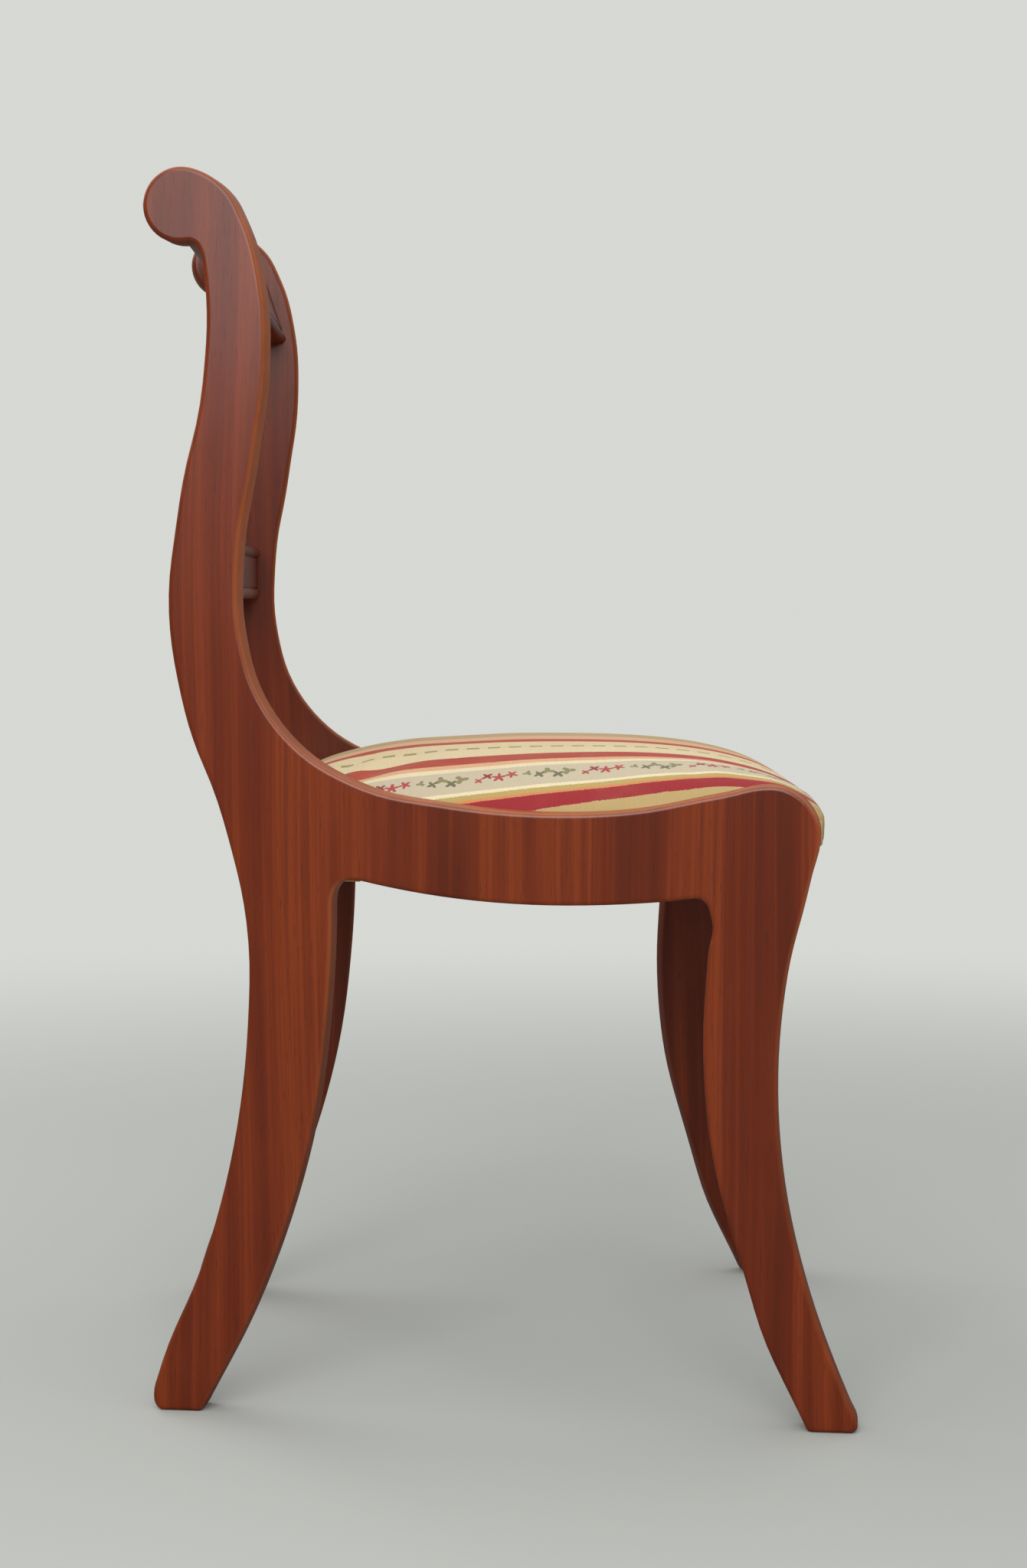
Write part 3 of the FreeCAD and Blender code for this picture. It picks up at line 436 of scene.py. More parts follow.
def wall_ring(node_name, sign):
    """The outline as (along, height) points, and the board's inner and outer depth."""
    outward, along = board_axes(sign)
    mesh = merged_copy(node_name)
    depths = [v.co.dot(outward) for v in mesh.verts]
    inner, outer = min(depths), max(depths)
    on_ring = {v for v, depth in zip(mesh.verts, depths) if abs(depth - (outer - ARRIS)) < 2e-5}
    beside = {v: [e.other_vert(v) for e in v.link_edges if e.other_vert(v) in on_ring] for v in on_ring}
    start = max(on_ring, key=lambda v: v.co.z)
    ring, before, here = [start], None, start
    while True:
        onward = [v for v in beside[here] if v is not before]
        before, here = here, onward[0]
        if here is start:
            break
        ring.append(here)
    points = [(v.co.dot(along), v.co.z) for v in ring]
    mesh.free()
    area = sum(a[0] * b[1] - b[0] * a[1] for a, b in zip(points, points[1:] + points[:1]))
    return (points if area > 0 else points[::-1]), inner, outer


# %% [markdown]
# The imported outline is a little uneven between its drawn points. A maker takes such bumps off with a
# spokeshave, so the long edges of the legs are evened out here by a curve fitted over each short
# stretch, the edge under the seat rail by one curve over its whole length, and the edges of the feet
# that face each other run straight down to a small round. Corners and scroll stay as they are.

# %% Even out the long edges
FAIR_REACH = 62.0 * MM
LEG_RUN, LEG_START, LEG_END = (0.008, 0.290), (0.010, 0.030), (0.215, 0.270)
RAIL_RUN, RAIL_START, RAIL_END = (-0.156, 0.072), (-0.156, -0.146), (0.067, 0.072)
RAIL_BAND = (0.350, 0.372)
UNDER_RAIL = [(70, 369.0), (51, 366.0), (32, 361.9), (14, 358.5), (0, 356.7), (-30, 355.2),
              (-60, 354.1), (-91, 353.9), (-110, 355.0), (-135, 356.8), (-153, 358.6)]
TAPER_TOP = 50.0 * MM
HEEL_ROUND = 4.0 * MM
HEEL_STEPS = 6
ELSEWHERE, LEG, UNDER = 0, 1, 2


def run_of(s, z):
    """Which of the long edges a point of the outline is on."""
    if LEG_RUN[0] < z < LEG_RUN[1]:
        return LEG
    below = RAIL_BAND[0] < z < RAIL_BAND[1] and RAIL_RUN[0] < s < RAIL_RUN[1]
    return UNDER if below else ELSEWHERE


def faired(points):
    """The outline with its long edges evened out, fading in and out at their ends."""
    places = np.array(points)
    steps = np.linalg.norm(places - np.roll(places, 1, axis=0), axis=1)
    reach, whole = np.cumsum(steps) - steps[0], steps.sum()
    kinds = np.array([run_of(s, z) for s, z in points])
    under_rail = np.polyfit(*(np.array(UNDER_RAIL) * MM).T, 4)
    even = []
    for k, (s, z) in enumerate(points):
        leg = share_of(z, *LEG_START) * (1 - share_of(z, *LEG_END))
        under = share_of(s, *RAIL_START) * (1 - share_of(s, *RAIL_END))
        amount = {ELSEWHERE: 0.0, LEG: leg, UNDER: under}[kinds[k]]
        fitted = (s, z)
        if kinds[k] == UNDER:
            fitted = (s, np.polyval(under_rail, s))
        elif amount > 0:
            away = (reach - reach[k] + whole / 2) % whole - whole / 2
            near = (np.abs(away) < FAIR_REACH) & (kinds == LEG)
            weight = np.exp(-(away[near] / (0.6 * FAIR_REACH)) ** 2)
            fitted = [np.polyfit(away[near], places[near, axis], 2, w=weight)[-1] for axis in (0, 1)]
        even.append((s + (fitted[0] - s) * amount, z + (fitted[1] - z) * amount))
    return even


def tapered(points, heel, low, high):
    """Runs the edge of a foot between low and high straight down to its heel, with a small round."""
    inner = [k for k, (s, z) in enumerate(points) if low < s < high and z < TAPER_TOP]
    rising = points[inner[-1]][1] > points[inner[0]][1]
    top = points[(inner[-1] + 1) % len(points)] if rising else points[inner[0] - 1]
    corner, top = Vector((heel, 0.0)), Vector(top)
    slope = (top - corner).normalized()
    flat = Vector((-1.0 if rising else 1.0, 0.0))
    half = 0.5 * slope.angle(flat)
    centre = corner + (slope + flat).normalized() * (HEEL_ROUND / math.sin(half))
    start, stop = [corner + way * (HEEL_ROUND / math.tan(half)) for way in (flat, slope)]
    spoke, sweep = start - centre, (start - centre).angle_signed(stop - centre)
    fresh = []
    for step in range(HEEL_STEPS + 1):
        turn = -sweep * step / HEEL_STEPS
        fresh.append((centre.x + spoke.x * math.cos(turn) - spoke.y * math.sin(turn),
                      centre.y + spoke.x * math.sin(turn) + spoke.y * math.cos(turn)))
    fresh += [tuple(stop.lerp(top, step / 5)) for step in range(1, 5)]
    return points[:inner[0]] + (fresh if rising else fresh[::-1]) + points[inner[-1] + 1:]


# %% Helpers that turn an outline into a board
def inset_ring(points, distance):
    """The outline moved inwards by distance, mitred at its corners."""
    moved = []
    for before, here, after in zip(points[-1:] + points[:-1], points, points[1:] + points[:1]):
        first = Vector((here[1] - before[1], before[0] - here[0])).normalized()
        second = Vector((after[1] - here[1], here[0] - after[0])).normalized()
        middle = (first + second).normalized()
        mitre = min(1.0 / max(middle.dot(first), 0.5), 1.6)
        moved.append((here[0] - middle.x * distance * mitre, here[1] - middle.y * distance * mitre))
    return moved


# How much lighter the board edges are painted: partly rubbing, partly a painted highlight that grows with
# height and on edges facing up or forwards.
LEAST_HANDLED_AND_LIT = 0.35
HAND_AND_LIGHT_REACH = (0.22, 0.42)
LEAST_WEAR_AND_HIGHLIGHT = 0.12


def outline_wear_and_highlight(points):
    """How much lighter each part of the edge is painted: partly rubbing where hands and legs reach, partly
    a painted highlight; most where it faces up or forwards.
    """
    wear_and_highlight = []
    for before, after in zip(points[-1:] + points[:-1], points[1:] + points[:1]):
        facing = Vector((after[1] - before[1], before[0] - after[0])).normalized()
        handled_and_lit = LEAST_HANDLED_AND_LIT + (1 - LEAST_HANDLED_AND_LIT) * share_of(before[1], *HAND_AND_LIGHT_REACH)
        wear_and_highlight.append(handled_and_lit * (LEAST_WEAR_AND_HIGHLIGHT + (1 - LEAST_WEAR_AND_HIGHLIGHT) * max(0.0, -facing.x, facing.y)))
    return wear_and_highlight


def mesh_data(name, mesh):
    data = bpy.data.meshes.new(name)
    mesh.to_mesh(data)
    mesh.free()
    return data


def new_piece(name, mesh, material, body, node_name):
    """Puts a finished mesh in the scene, on its body, in its material slot."""
    piece = put_in_scene(name, mesh_data(name, mesh))
    piece.data.materials.append(material)
    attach(piece, body)
    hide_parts(node_name)
    return piece


def smooth_below(data, degrees):
    """Smooth shading, with a crisp edge wherever faces turn by more than this."""
    data.shade_smooth()
    data.set_sharp_from_angle(angle=math.radians(degrees))


# %% Build both boards
# Each heel is given as its place, and the run of the foot beside it.
FRONT_HEEL = (-236.0 * MM, -240.5 * MM, -200.0 * MM)
REAR_HEEL = (180.5 * MM, 140.0 * MM, 187.5 * MM)
FACE_MARGIN = 0.6 * MM


def quarter_rounds(inner, outer):
    """The rings from the outer to the inner face, as (inset, depth, share of edge)."""
    profile = []
    for step in range(ROUND_STEPS + 1):
        turn = 0.5 * math.pi * step / ROUND_STEPS
        profile.append((ARRIS * (1 - math.sin(turn)), ARRIS * (1 - math.cos(turn)), math.sin(turn)))
    rings = [(ARRIS + FACE_MARGIN, outer, 0.0)]
    rings += [(inset, outer - depth, edge) for inset, depth, edge in profile]
    rings += [(inset, inner + depth, edge) for inset, depth, edge in reversed(profile)]
    return rings + [(ARRIS + FACE_MARGIN, inner, 0.0)]


def build_board(node_name, sign):
    outward, along = board_axes(sign)
    outline, inner, outer = wall_ring(node_name, sign)
    outline = faired(tapered(tapered(outline, *FRONT_HEEL), *REAR_HEEL))
    # The lighter edge colour, partly rubbing and partly a painted highlight, is kept in a point attribute.
    rubbed_and_lit = outline_wear_and_highlight(outline)
    mesh = bmesh.new()
    edge_layer = mesh.verts.layers.float.new("edge")
    wear_and_highlight_layer = mesh.verts.layers.float.new("wear_and_highlight")
    made = []
    for inset, depth, edge in quarter_rounds(inner, outer):
        row = []
        for (s, z), rub_and_highlight in zip(inset_ring(outline, inset), rubbed_and_lit):
            vert = mesh.verts.new(outward * depth + along * s + Vector((0, 0, z)))
            vert[edge_layer] = edge
            vert[wear_and_highlight_layer] = edge * rub_and_highlight
            row.append(vert)
        made.append(row)
    count = len(outline)
    for near, far in zip(made, made[1:]):
        for k in range(count):
            mesh.faces.new((near[k], near[(k + 1) % count], far[(k + 1) % count], far[k]))
    mesh.faces.new(made[0][::-1])
    mesh.faces.new(made[-1])
    mesh.normal_update()
    bmesh.ops.triangulate(mesh, faces=[f for f in mesh.faces if len(f.verts) > 4])
    bmesh.ops.recalc_face_normals(mesh, faces=mesh.faces)
    piece = new_piece(node_name + "_rounded", mesh, mahogany_board, FRAME_BODY, node_name)
    smooth_below(piece.data, 50)
    print(piece.name, "outline points:", count, "thickness:", round((outer - inner) / MM, 2), "mm")
    return inner


for name, sign in SIDE_SIGN.items():
    board_inner = build_board(name, sign)


# %% [markdown]
# ## Rails, lyre and blocks
#
# A plane or a sheet of abrasive takes the sharpness off every edge, and that thin line of light is
# what tells the eye that a thing is made of wood. Each of these nodes has the right shape already,
# so a copy of it is joined up, its flat faces are made whole again, and its edges get a small bevel.

# %% Ease the edges of the other wooden pieces
def eased(node_name, material, body, width, steps):
    """A copy of the node with its flat faces whole again and every crisp edge bevelled."""
    mesh = merged_copy(node_name)
    bmesh.ops.dissolve_limit(mesh, angle_limit=math.radians(0.5), verts=mesh.verts, edges=mesh.edges)
    crisp = [e for e in mesh.edges if len(e.link_faces) == 2 and e.calc_face_angle(0) > math.radians(32)]
    bmesh.ops.bevel(mesh, geom=crisp, offset=width, offset_type="OFFSET", segments=steps, profile=0.5,
                    affect="EDGES", clamp_overlap=True)
    bmesh.ops.recalc_face_normals(mesh, faces=mesh.faces)
    piece = new_piece(node_name + "_eased", mesh, material, body, node_name)
    smooth_below(piece.data, 38)


MAHOGANY_PIECES = [
    ("crest_rail", mahogany_across, 1.2, 2), ("lower_back_rail", mahogany_across, 1.0, 2),
    ("front_seat_rail", mahogany_across, 1.5, 2), ("back_seat_rail", mahogany_across, 1.2, 2),
    ("lyre_arm_right", mahogany_upright, 1.8, 3), ("lyre_arm_left", mahogany_upright, 1.8, 3),
    ("lyre_base", mahogany_across, 0.6, 2), ("lyre_yoke", mahogany_across, 1.0, 2),
]
for name, wood, width, steps in MAHOGANY_PIECES:
    eased(name, wood, FRAME_BODY, width * MM, steps)
for name in nodes:
    if name.startswith(("corner_block", "seat_bearer")):
        wood = beech_along if name.startswith("seat_bearer") else beech_across
        eased(name, wood, FRAME_BODY, 1.0 * MM, 2)
for side in ("front", "back", "right", "left"):
    wood = beech_across if side in ("front", "back") else beech_along
    eased("seat_frame_" + side, wood, SEAT_BODY, 3.0 * MM, 3)


# %% [markdown]
# ## Brass strings
#
# The strings are drawn brass rod. Years of polishing leave brass bright with faint marks round it.

# %% Make the brass
def make_brass():
    material, tree, surface = new_material("polished_brass")
    marks = noise(tree, object_vector(tree), (900.0, 900.0, 120.0))
    tarnish = ramp(tree, noise(tree, object_vector(tree), 30.0, 3.0, 0.6), 0.45, 0.75)
    feed(tree, surface, {"Base Color": blend_colours(tree, tarnish, rgb(212, 172, 92), rgb(160, 118, 58)),
                         "Roughness": ops(tree, "MULTIPLY_ADD", marks, 0.18, 0.2), "Metallic": 1.0,
                         "Normal": bump(tree, marks, 0.15, 0.0002)})
    return material


polished_brass = make_brass()
strings = nodes["lyre_strings"]
strings.data.materials.clear()
strings.data.materials.append(polished_brass)
print("strings:", len(strings.data.polygons), "faces in", polished_brass.name)


# %% [markdown]
# ## The stuffed seat
#
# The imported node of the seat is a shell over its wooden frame. A stuffed seat has no crisp edges, so
# the pad starts as the hull of that shell, made again from small even cells. Cloth with a pressure
# inside then swells it between the places where it is nailed down: its skirt is held below the top
# of the frame, and the crown is free. No point may move further than a cap.

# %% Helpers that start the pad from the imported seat
PAD_CELL = 6.0 * MM
PAD_CAP = 5.0 * MM
PAD_DROP = 4.5 * MM
PAD_PRESSURE = 4.0
PAD_FRAMES = 20
SKIRT_TOP = 0.415
SIDE_GAP = 0.5 * MM
FRONT_FILL = 3.5 * MM
FILL_RISE, FILL_FALL = (0.12, 0.17), (0.205, 0.216)
FILL_FORWARDS, FILL_UPWARDS = (0.06, 0.16), (0.418, 0.432)
NOSE_LINE = -0.205
NOSE_TUCK = (0.404, 0.418)
RAIL_FACE = -0.2170
RIM_DROP = 1.6 * MM
RIM_BAND = (0.395, 0.406)
LOWEST_SINK = 0.1 * MM
pad_low, pad_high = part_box("seat_cushion")


def hull_of(node_name):
    mesh = merged_copy(node_name)
    made = bmesh.ops.convex_hull(mesh, input=mesh.verts)
    loose = [g for g in made["geom_interior"] + made["geom_unused"] if isinstance(g, bmesh.types.BMVert)]
    bmesh.ops.delete(mesh, geom=loose, context="VERTS")
    hull = set(made["geom"])
    bmesh.ops.delete(mesh, geom=[f for f in mesh.faces if f not in hull], context="FACES_ONLY")
    return mesh


def finished(piece):
    """The mesh that the piece's modifiers make; the modifiers are then taken off."""
    graph = bpy.context.evaluated_depsgraph_get()
    data = bpy.data.meshes.new_from_object(piece.evaluated_get(graph))
    piece.modifiers.clear()
    return data


def apply_modifier(piece, kind, **settings):
    modifier = piece.modifiers.new(kind.lower(), kind)
    for name, value in settings.items():
        setattr(modifier, name, value)
    piece.data = finished(piece)


def make_pad():
    pad = put_in_scene("seat_pad", mesh_data("seat_pad", hull_of("seat_cushion")))
    apply_modifier(pad, "REMESH", mode="VOXEL", voxel_size=PAD_CELL, use_smooth_shade=True)
    for vert in pad.data.vertices:
        part = (vert.co.z - SKIRT_TOP) / (pad_high.z - SKIRT_TOP)
        if part > 0:
            vert.co.z -= PAD_DROP * min(1.0, part * 2)
    return pad


# %% Helpers that swell the pad and fit it to the seat
def swell(pad):
    """Lets a pressure inside stretch the pad, and returns the largest move."""
    start = [v.co.copy() for v in pad.data.vertices]
    held = pad.vertex_groups.new(name="held")
    for vert in pad.data.vertices:
        if vert.co.z < SKIRT_TOP:
            held.add([vert.index], 1.0, "REPLACE")
    cloth = pad.modifiers.new("cloth", "CLOTH")
    cloth.settings.use_pressure = True
    cloth.settings.uniform_pressure_force = PAD_PRESSURE
    cloth.settings.effector_weights.gravity = 0.0
    cloth.settings.vertex_group_mass = "held"
    cloth.settings.quality = 5
    cloth.point_cache.frame_start = 1
    cloth.point_cache.frame_end = PAD_FRAMES
    for frame_number in range(1, PAD_FRAMES + 1):
        bpy.context.scene.frame_set(frame_number)
    data = finished(pad)
    bpy.context.scene.frame_set(1)
    moved = 0.0
    for vert, before in zip(data.vertices, start):
        step = vert.co - before
        if step.length > PAD_CAP:
            step *= PAD_CAP / step.length
        moved = max(moved, step.length)
        vert.co = before + step
    pad.data = data
    pad.vertex_groups.clear()
    return moved


def fit_to_photo(pad):
    """Fills the front corners of the crown and tucks the nose in below its roundest line."""
    for vert in pad.data.vertices:
        side = share_of(abs(vert.co.x), *FILL_RISE) * (1 - share_of(abs(vert.co.x), *FILL_FALL))
        front = share_of(-vert.co.y, *FILL_FORWARDS) * share_of(vert.co.z, *FILL_UPWARDS)
        vert.co.z += FRONT_FILL * side * front
        if vert.co.y < NOSE_LINE:
            keep = 0.30 + 0.46 * share_of(vert.co.z, *NOSE_TUCK)
            tucked = NOSE_LINE + (vert.co.y - NOSE_LINE) * keep
            vert.co.y = min(tucked, RAIL_FACE) if vert.co.y < RAIL_FACE else vert.co.y


def keep_between_boards(pad):
    """Keeps the swollen pad off both boards, off the back rail and above its own rest."""
    for vert in pad.data.vertices:
        outward = board_axes(1 if vert.co.x > 0 else -1)[0]
        excess = vert.co.dot(outward) - (board_inner - SIDE_GAP)
        if excess > 0:
            vert.co -= outward * excess
        vert.co.y = min(vert.co.y, pad_high.y + SIDE_GAP)
        vert.co.z -= RIM_DROP * (1 - share_of(vert.co.z, *RIM_BAND))
        vert.co.z = max(vert.co.z, pad_low.z - LOWEST_SINK)


# %% Make the pad
pad = make_pad()
print("pad cells:", len(pad.data.vertices))
print("largest move:", round(swell(pad) / MM, 2), "mm")
apply_modifier(pad, "SMOOTH", factor=0.5, iterations=4)
fit_to_photo(pad)
keep_between_boards(pad)
crown = max(v.co.z for v in pad.data.vertices)
print("pad height above its rest:", round((crown - pad_low.z) / MM, 1), "mm")


# %% [markdown]
# ## The striped cover
#
# The cover is a woven stripe: wide bands and thin lines that run from back to front, the same on
# both sides of the middle, with a band of small sprigs near each side. Two attributes carry the
# cloth's own coordinates in metres: how far a point is from the middle line, measured over the edge
# and down the side, and how far it is along the stripe, measured over the nose in the same way.

# %% Give the pad its cloth coordinates
PAD_EDGE = 0.424
TURN_DOWN = 0.19


def cloth_coordinates(pad):
    across, along = [], []
    for vert in pad.data.vertices:
        down = max(0.0, PAD_EDGE - vert.co.z)
        across.append(abs(vert.co.x) + (down if abs(vert.co.x) > TURN_DOWN else 0.0))
        along.append(vert.co.y - (down if vert.co.y < -TURN_DOWN else 0.0))
    for name, values in (("across", across), ("along", along)):
        layer = pad.data.attributes.new(name, "FLOAT", "POINT")
        layer.data.foreach_set("value", values)
    return max(across)


print("widest reach of the cloth from its middle:", round(cloth_coordinates(pad) / MM, 1), "mm")


# %% A group for the stripes
STRIPES = [
    (0, (184, 156, 104)), (24, (222, 172, 130)), (50, (178, 54, 18)), (66, (226, 204, 158)),
    (92, (228, 208, 166)), (112, (176, 46, 12)), (128, (226, 172, 128)), (136, (234, 220, 182)),
    (142, (204, 190, 162)), (167, (236, 222, 182)), (170, (190, 164, 96)), (174, (216, 138, 84)),
    (176, (158, 6, 24)), (186, (192, 164, 108)), (204, (176, 148, 92)),
]
CLOTH_HALF = 260.0


def make_stripes():
    tree, given, put = new_group("woven_stripes", {"Across": (NUMBER, 0.0)}, {"Color": COLOUR})
    share = ops(tree, "DIVIDE", given["Across"], CLOTH_HALF)
    node = add_node(tree, "ShaderNodeValToRGB", {0: share})
    node.color_ramp.interpolation = "CONSTANT"
    stops = node.color_ramp.elements
    while len(stops) < len(STRIPES):
        stops.new(0.5)
    for stop, (place, colour) in zip(stops, STRIPES):
        stop.position = place / CLOTH_HALF
    for stop, (place, colour) in zip(stops, STRIPES):
        stop.color = rgb(*colour)
    feed(tree, put, {"Color": node.outputs[0]})
    return tree


# %% A group for the sprigs and dashes between the stripes
REPEAT = 74.0
SPRIG_LINE = 154.5
DASH_LINE, DASH_HALF, DASH_LENGTH, DASH_REPEAT = 88.0, 2.2, 9.0, 15.0
ROSE, DEEP_ROSE, LEAF, DARK_LEAF = (178, 62, 62), (146, 40, 50), (140, 134, 92), (108, 108, 78)
MOTIFS = [
    (2, 0.5, 5.6, 5, ROSE), (10, -2.4, 4.6, 4, DEEP_ROSE), (-7, -1.6, 4.8, 5, ROSE),
    (16, 2.4, 3.4, 4, ROSE), (28, -1.4, 5.8, 3, LEAF), (35, 2.6, 5.0, 4, DARK_LEAF),
    (42, -2.6, 5.2, 3, LEAF), (48, 1.4, 4.4, 4, DARK_LEAF), (56, -1.0, 3.6, 3, LEAF),
]


def motif_mask(tree, across, along, place, offset, radius, lobes):
    """1 inside a small flower or leaf that repeats along the cloth."""
    turn = ops(tree, "FLOORED_MODULO", ops(tree, "ADD", along, 1000 * REPEAT + REPEAT / 2 - place), REPEAT)
    x = ops(tree, "SUBTRACT", turn, REPEAT / 2)
    y = ops(tree, "SUBTRACT", across, SPRIG_LINE + offset)
    reach = ops(tree, "SQRT", ops(tree, "MULTIPLY_ADD", x, x, ops(tree, "MULTIPLY", y, y)))
    angle = ops(tree, "ARCTAN2", y, x)
    wave = ops(tree, "COSINE", ops(tree, "MULTIPLY_ADD", angle, lobes, place))
    edge = ops(tree, "MULTIPLY_ADD", wave, radius * 0.30, radius * 0.66)
    return ops(tree, "LESS_THAN", reach, edge)


def make_sprigs():
    tree, given, put = new_group(
        "sprigs_and_dashes",
        {"Across": (NUMBER, 0.0), "Along": (NUMBER, 0.0), "Ground": (COLOUR, (1, 1, 1, 1))},
        {"Color": COLOUR})
    across, along, colour = given["Across"], given["Along"], given["Ground"]
    for place, offset, radius, lobes, tone in MOTIFS:
        mask = motif_mask(tree, across, along, place, offset, radius, lobes)
        colour = blend_colours(tree, mask, colour, rgb(*tone))
    on_beat = ops(tree, "LESS_THAN", ops(tree, "FLOORED_MODULO", along, DASH_REPEAT), DASH_LENGTH)
    off_line = ops(tree, "ABSOLUTE", ops(tree, "SUBTRACT", across, DASH_LINE))
    dash = ops(tree, "MULTIPLY", on_beat, ops(tree, "LESS_THAN", off_line, DASH_HALF))
    feed(tree, put, {"Color": blend_colours(tree, dash, colour, rgb(150, 146, 96))})
    return tree


woven_stripes = make_stripes()
sprigs_and_dashes = make_sprigs()
print("stripes:", len(STRIPES), "motifs:", len(MOTIFS))


# %% Make the cover's material
def cover_with(tree, surface, colour, yarns, contrast, strength, height):
    """Weaves a colour over the whole surface."""
    yarn = add_node(tree, "ShaderNodeGroup", {"Vector": object_vector(tree), "Cloth": colour,
                    "Yarns per metre": yarns, "Contrast": contrast}, node_tree=weave).outputs
    feed(tree, surface, {"Base Color": yarn["Color"],
                         "Normal": bump(tree, yarn["Height"], strength, height)})


def make_cover():
    material, tree, surface = new_material("striped_cover")
    place = object_vector(tree)
    wander = ops(tree, "MULTIPLY", ops(tree, "SUBTRACT", noise(tree, place, 900.0, 1.0), 0.5), 1.3)
    across, along = [ops(tree, "MULTIPLY_ADD", attribute(tree, name), 1000.0, wander)
                     for name in ("across", "along")]
    bands = add_node(tree, "ShaderNodeGroup", {"Across": across}, node_tree=woven_stripes).outputs[0]
    figures = add_node(tree, "ShaderNodeGroup", {"Across": across, "Along": along, "Ground": bands},
                       node_tree=sprigs_and_dashes).outputs[0]
    fade = ops(tree, "MULTIPLY", ramp(tree, noise(tree, place, 14.0, 3.0, 0.6), 0.45, 0.8), 0.14)
    faded = blend_colours(tree, fade, figures, rgb(206, 178, 134))
    cover_with(tree, surface, faded, yarns=1500.0, contrast=0.30, strength=0.35, height=0.0003)
    feed(tree, surface, {"Roughness": 0.62, "Sheen Weight": 0.04, "Sheen Roughness": 0.4})
    return material


striped_cover = make_cover()
apply_modifier(pad, "SUBSURF", levels=1, render_levels=1)
pad.data.materials.clear()
pad.data.materials.append(striped_cover)
pad.data.shade_smooth()
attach(pad, SEAT_BODY)
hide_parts("seat_cushion")
print("pad faces:", len(pad.data.polygons))


# %% [markdown]
# ## Webbing, hessian and dust cover
#
# Under the stuffing lie bands of jute webbing, woven over and under each other, then hessian. A dust
# cover closes the seat from below. Each is a sheet with a known cut size.

# %% Materials for the hidden cloth
def make_plain_cloth(name, colour, yarns, contrast, strength):
    material, tree, surface = new_material(name)
    patch = ops(tree, "MULTIPLY", noise(tree, object_vector(tree), 18.0, 3.0, 0.6), 0.35)
    darker = tuple(channel * 0.6 for channel in colour[:3]) + (1.0,)
    patchy = blend_colours(tree, patch, colour, darker)
    cover_with(tree, surface, patchy, yarns, contrast, strength, height=0.0005)
    feed(tree, surface, {"Roughness": 0.85})
    return material


jute_webbing = make_plain_cloth("jute_webbing", rgb(150, 118, 78), 520.0, 0.7, 0.6)
hessian_cloth = make_plain_cloth("hessian_cloth", rgb(172, 140, 98), 420.0, 0.8, 0.6)
black_lining = make_plain_cloth("black_lining", rgb(38, 37, 36), 1600.0, 0.4, 0.3)
print("cloth materials:", jute_webbing.name, hessian_cloth.name, black_lining.name)


# %% Build the webbing
WEB_THICK = 1.0 * MM
WEB_HALF = 24.0 * MM
WEB_LOW, WEB_HIGH = 0.4117, 0.4129
LENGTHWISE_X = (-0.11655, -0.0388, 0.0388, 0.11655)
CROSSWISE_Y = (-0.1686, -0.0785, 0.0116, 0.1017)
WEB_FRONT, WEB_BACK = -0.2082, 0.1413
FOLD = 15.0 * MM
ACROSS = [k / 3 - 1 for k in range(7)]
REACH, REACH_AT, NARROWING = 0.2040, -0.1926, 6.8 / 48.0
CHANGE = (0.33, 0.67)
END_LEVEL, END_FALL = 0.025, 0.02


def side_reach(y):
    """How far out a crosswise band goes at this y: the seat narrows towards the back."""
    return REACH - (y - REACH_AT) * NARROWING


def weave_level(place, crossings, first):
    """Over one crossing and under the next, with a smooth change between them."""
    k = max([i for i, crossing in enumerate(crossings) if crossing <= place], default=0)
    own, onward = (first + k) % 2, (first + k + 1) % 2
    if crossings[0] < place < crossings[-1]:
        part = (place - crossings[k]) / (crossings[k + 1] - crossings[k])
        share = own + (onward - own) * share_of(part, *CHANGE)
    else:
        past = (abs(place - crossings[k]) - END_LEVEL) / END_FALL
        share = own * (1 - min(1.0, max(0.0, past)))
    return WEB_LOW + (WEB_HIGH - WEB_LOW) * share


def add_band(mesh, rows):
    """A flat band through rows of points; each row runs across the band."""
    verts = [[mesh.verts.new(point) for point in row] for row in rows]
    for near, far in zip(verts, verts[1:]):
        for k in range(len(near) - 1):
            mesh.faces.new((near[k], near[k + 1], far[k + 1], far[k]))


def folded_run(start, stop, level_at):
    """Places along a band with both ends turned back over themselves, as (place, height)."""
    turned = WEB_THICK * 1.05
    run = [(start + FOLD, level_at(start) + turned), (start + 2 * MM, level_at(start) + turned),
           (start, level_at(start) + turned / 2), (start + 1 * MM, level_at(start))]
    steps = int((stop - start) / (6 * MM))
    for k in range(1, steps):
        place = start + (stop - start) * k / steps
        run.append((place, level_at(place)))
    run += [(stop - 1 * MM, level_at(stop)), (stop, level_at(stop) + turned / 2),
            (stop - 2 * MM, level_at(stop) + turned), (stop - FOLD, level_at(stop) + turned)]
    return run


def finish_sheet(name, mesh, material, node_name, thick):
    piece = new_piece(name, mesh, material, SEAT_BODY, node_name)
    apply_modifier(piece, "SOLIDIFY", thickness=thick, offset=0.0)
    smooth_below(piece.data, 40)
    return piece


def finish_band(way, number, rows, length):
    mesh = bmesh.new()
    add_band(mesh, rows)
    layer = "webbing_" + way
    band = finish_sheet(f"{layer}_{number + 1}", mesh, jute_webbing, layer, WEB_THICK)
    print(band.name, "cut length:", round((length + 2 * FOLD) / MM, 1), "mm")


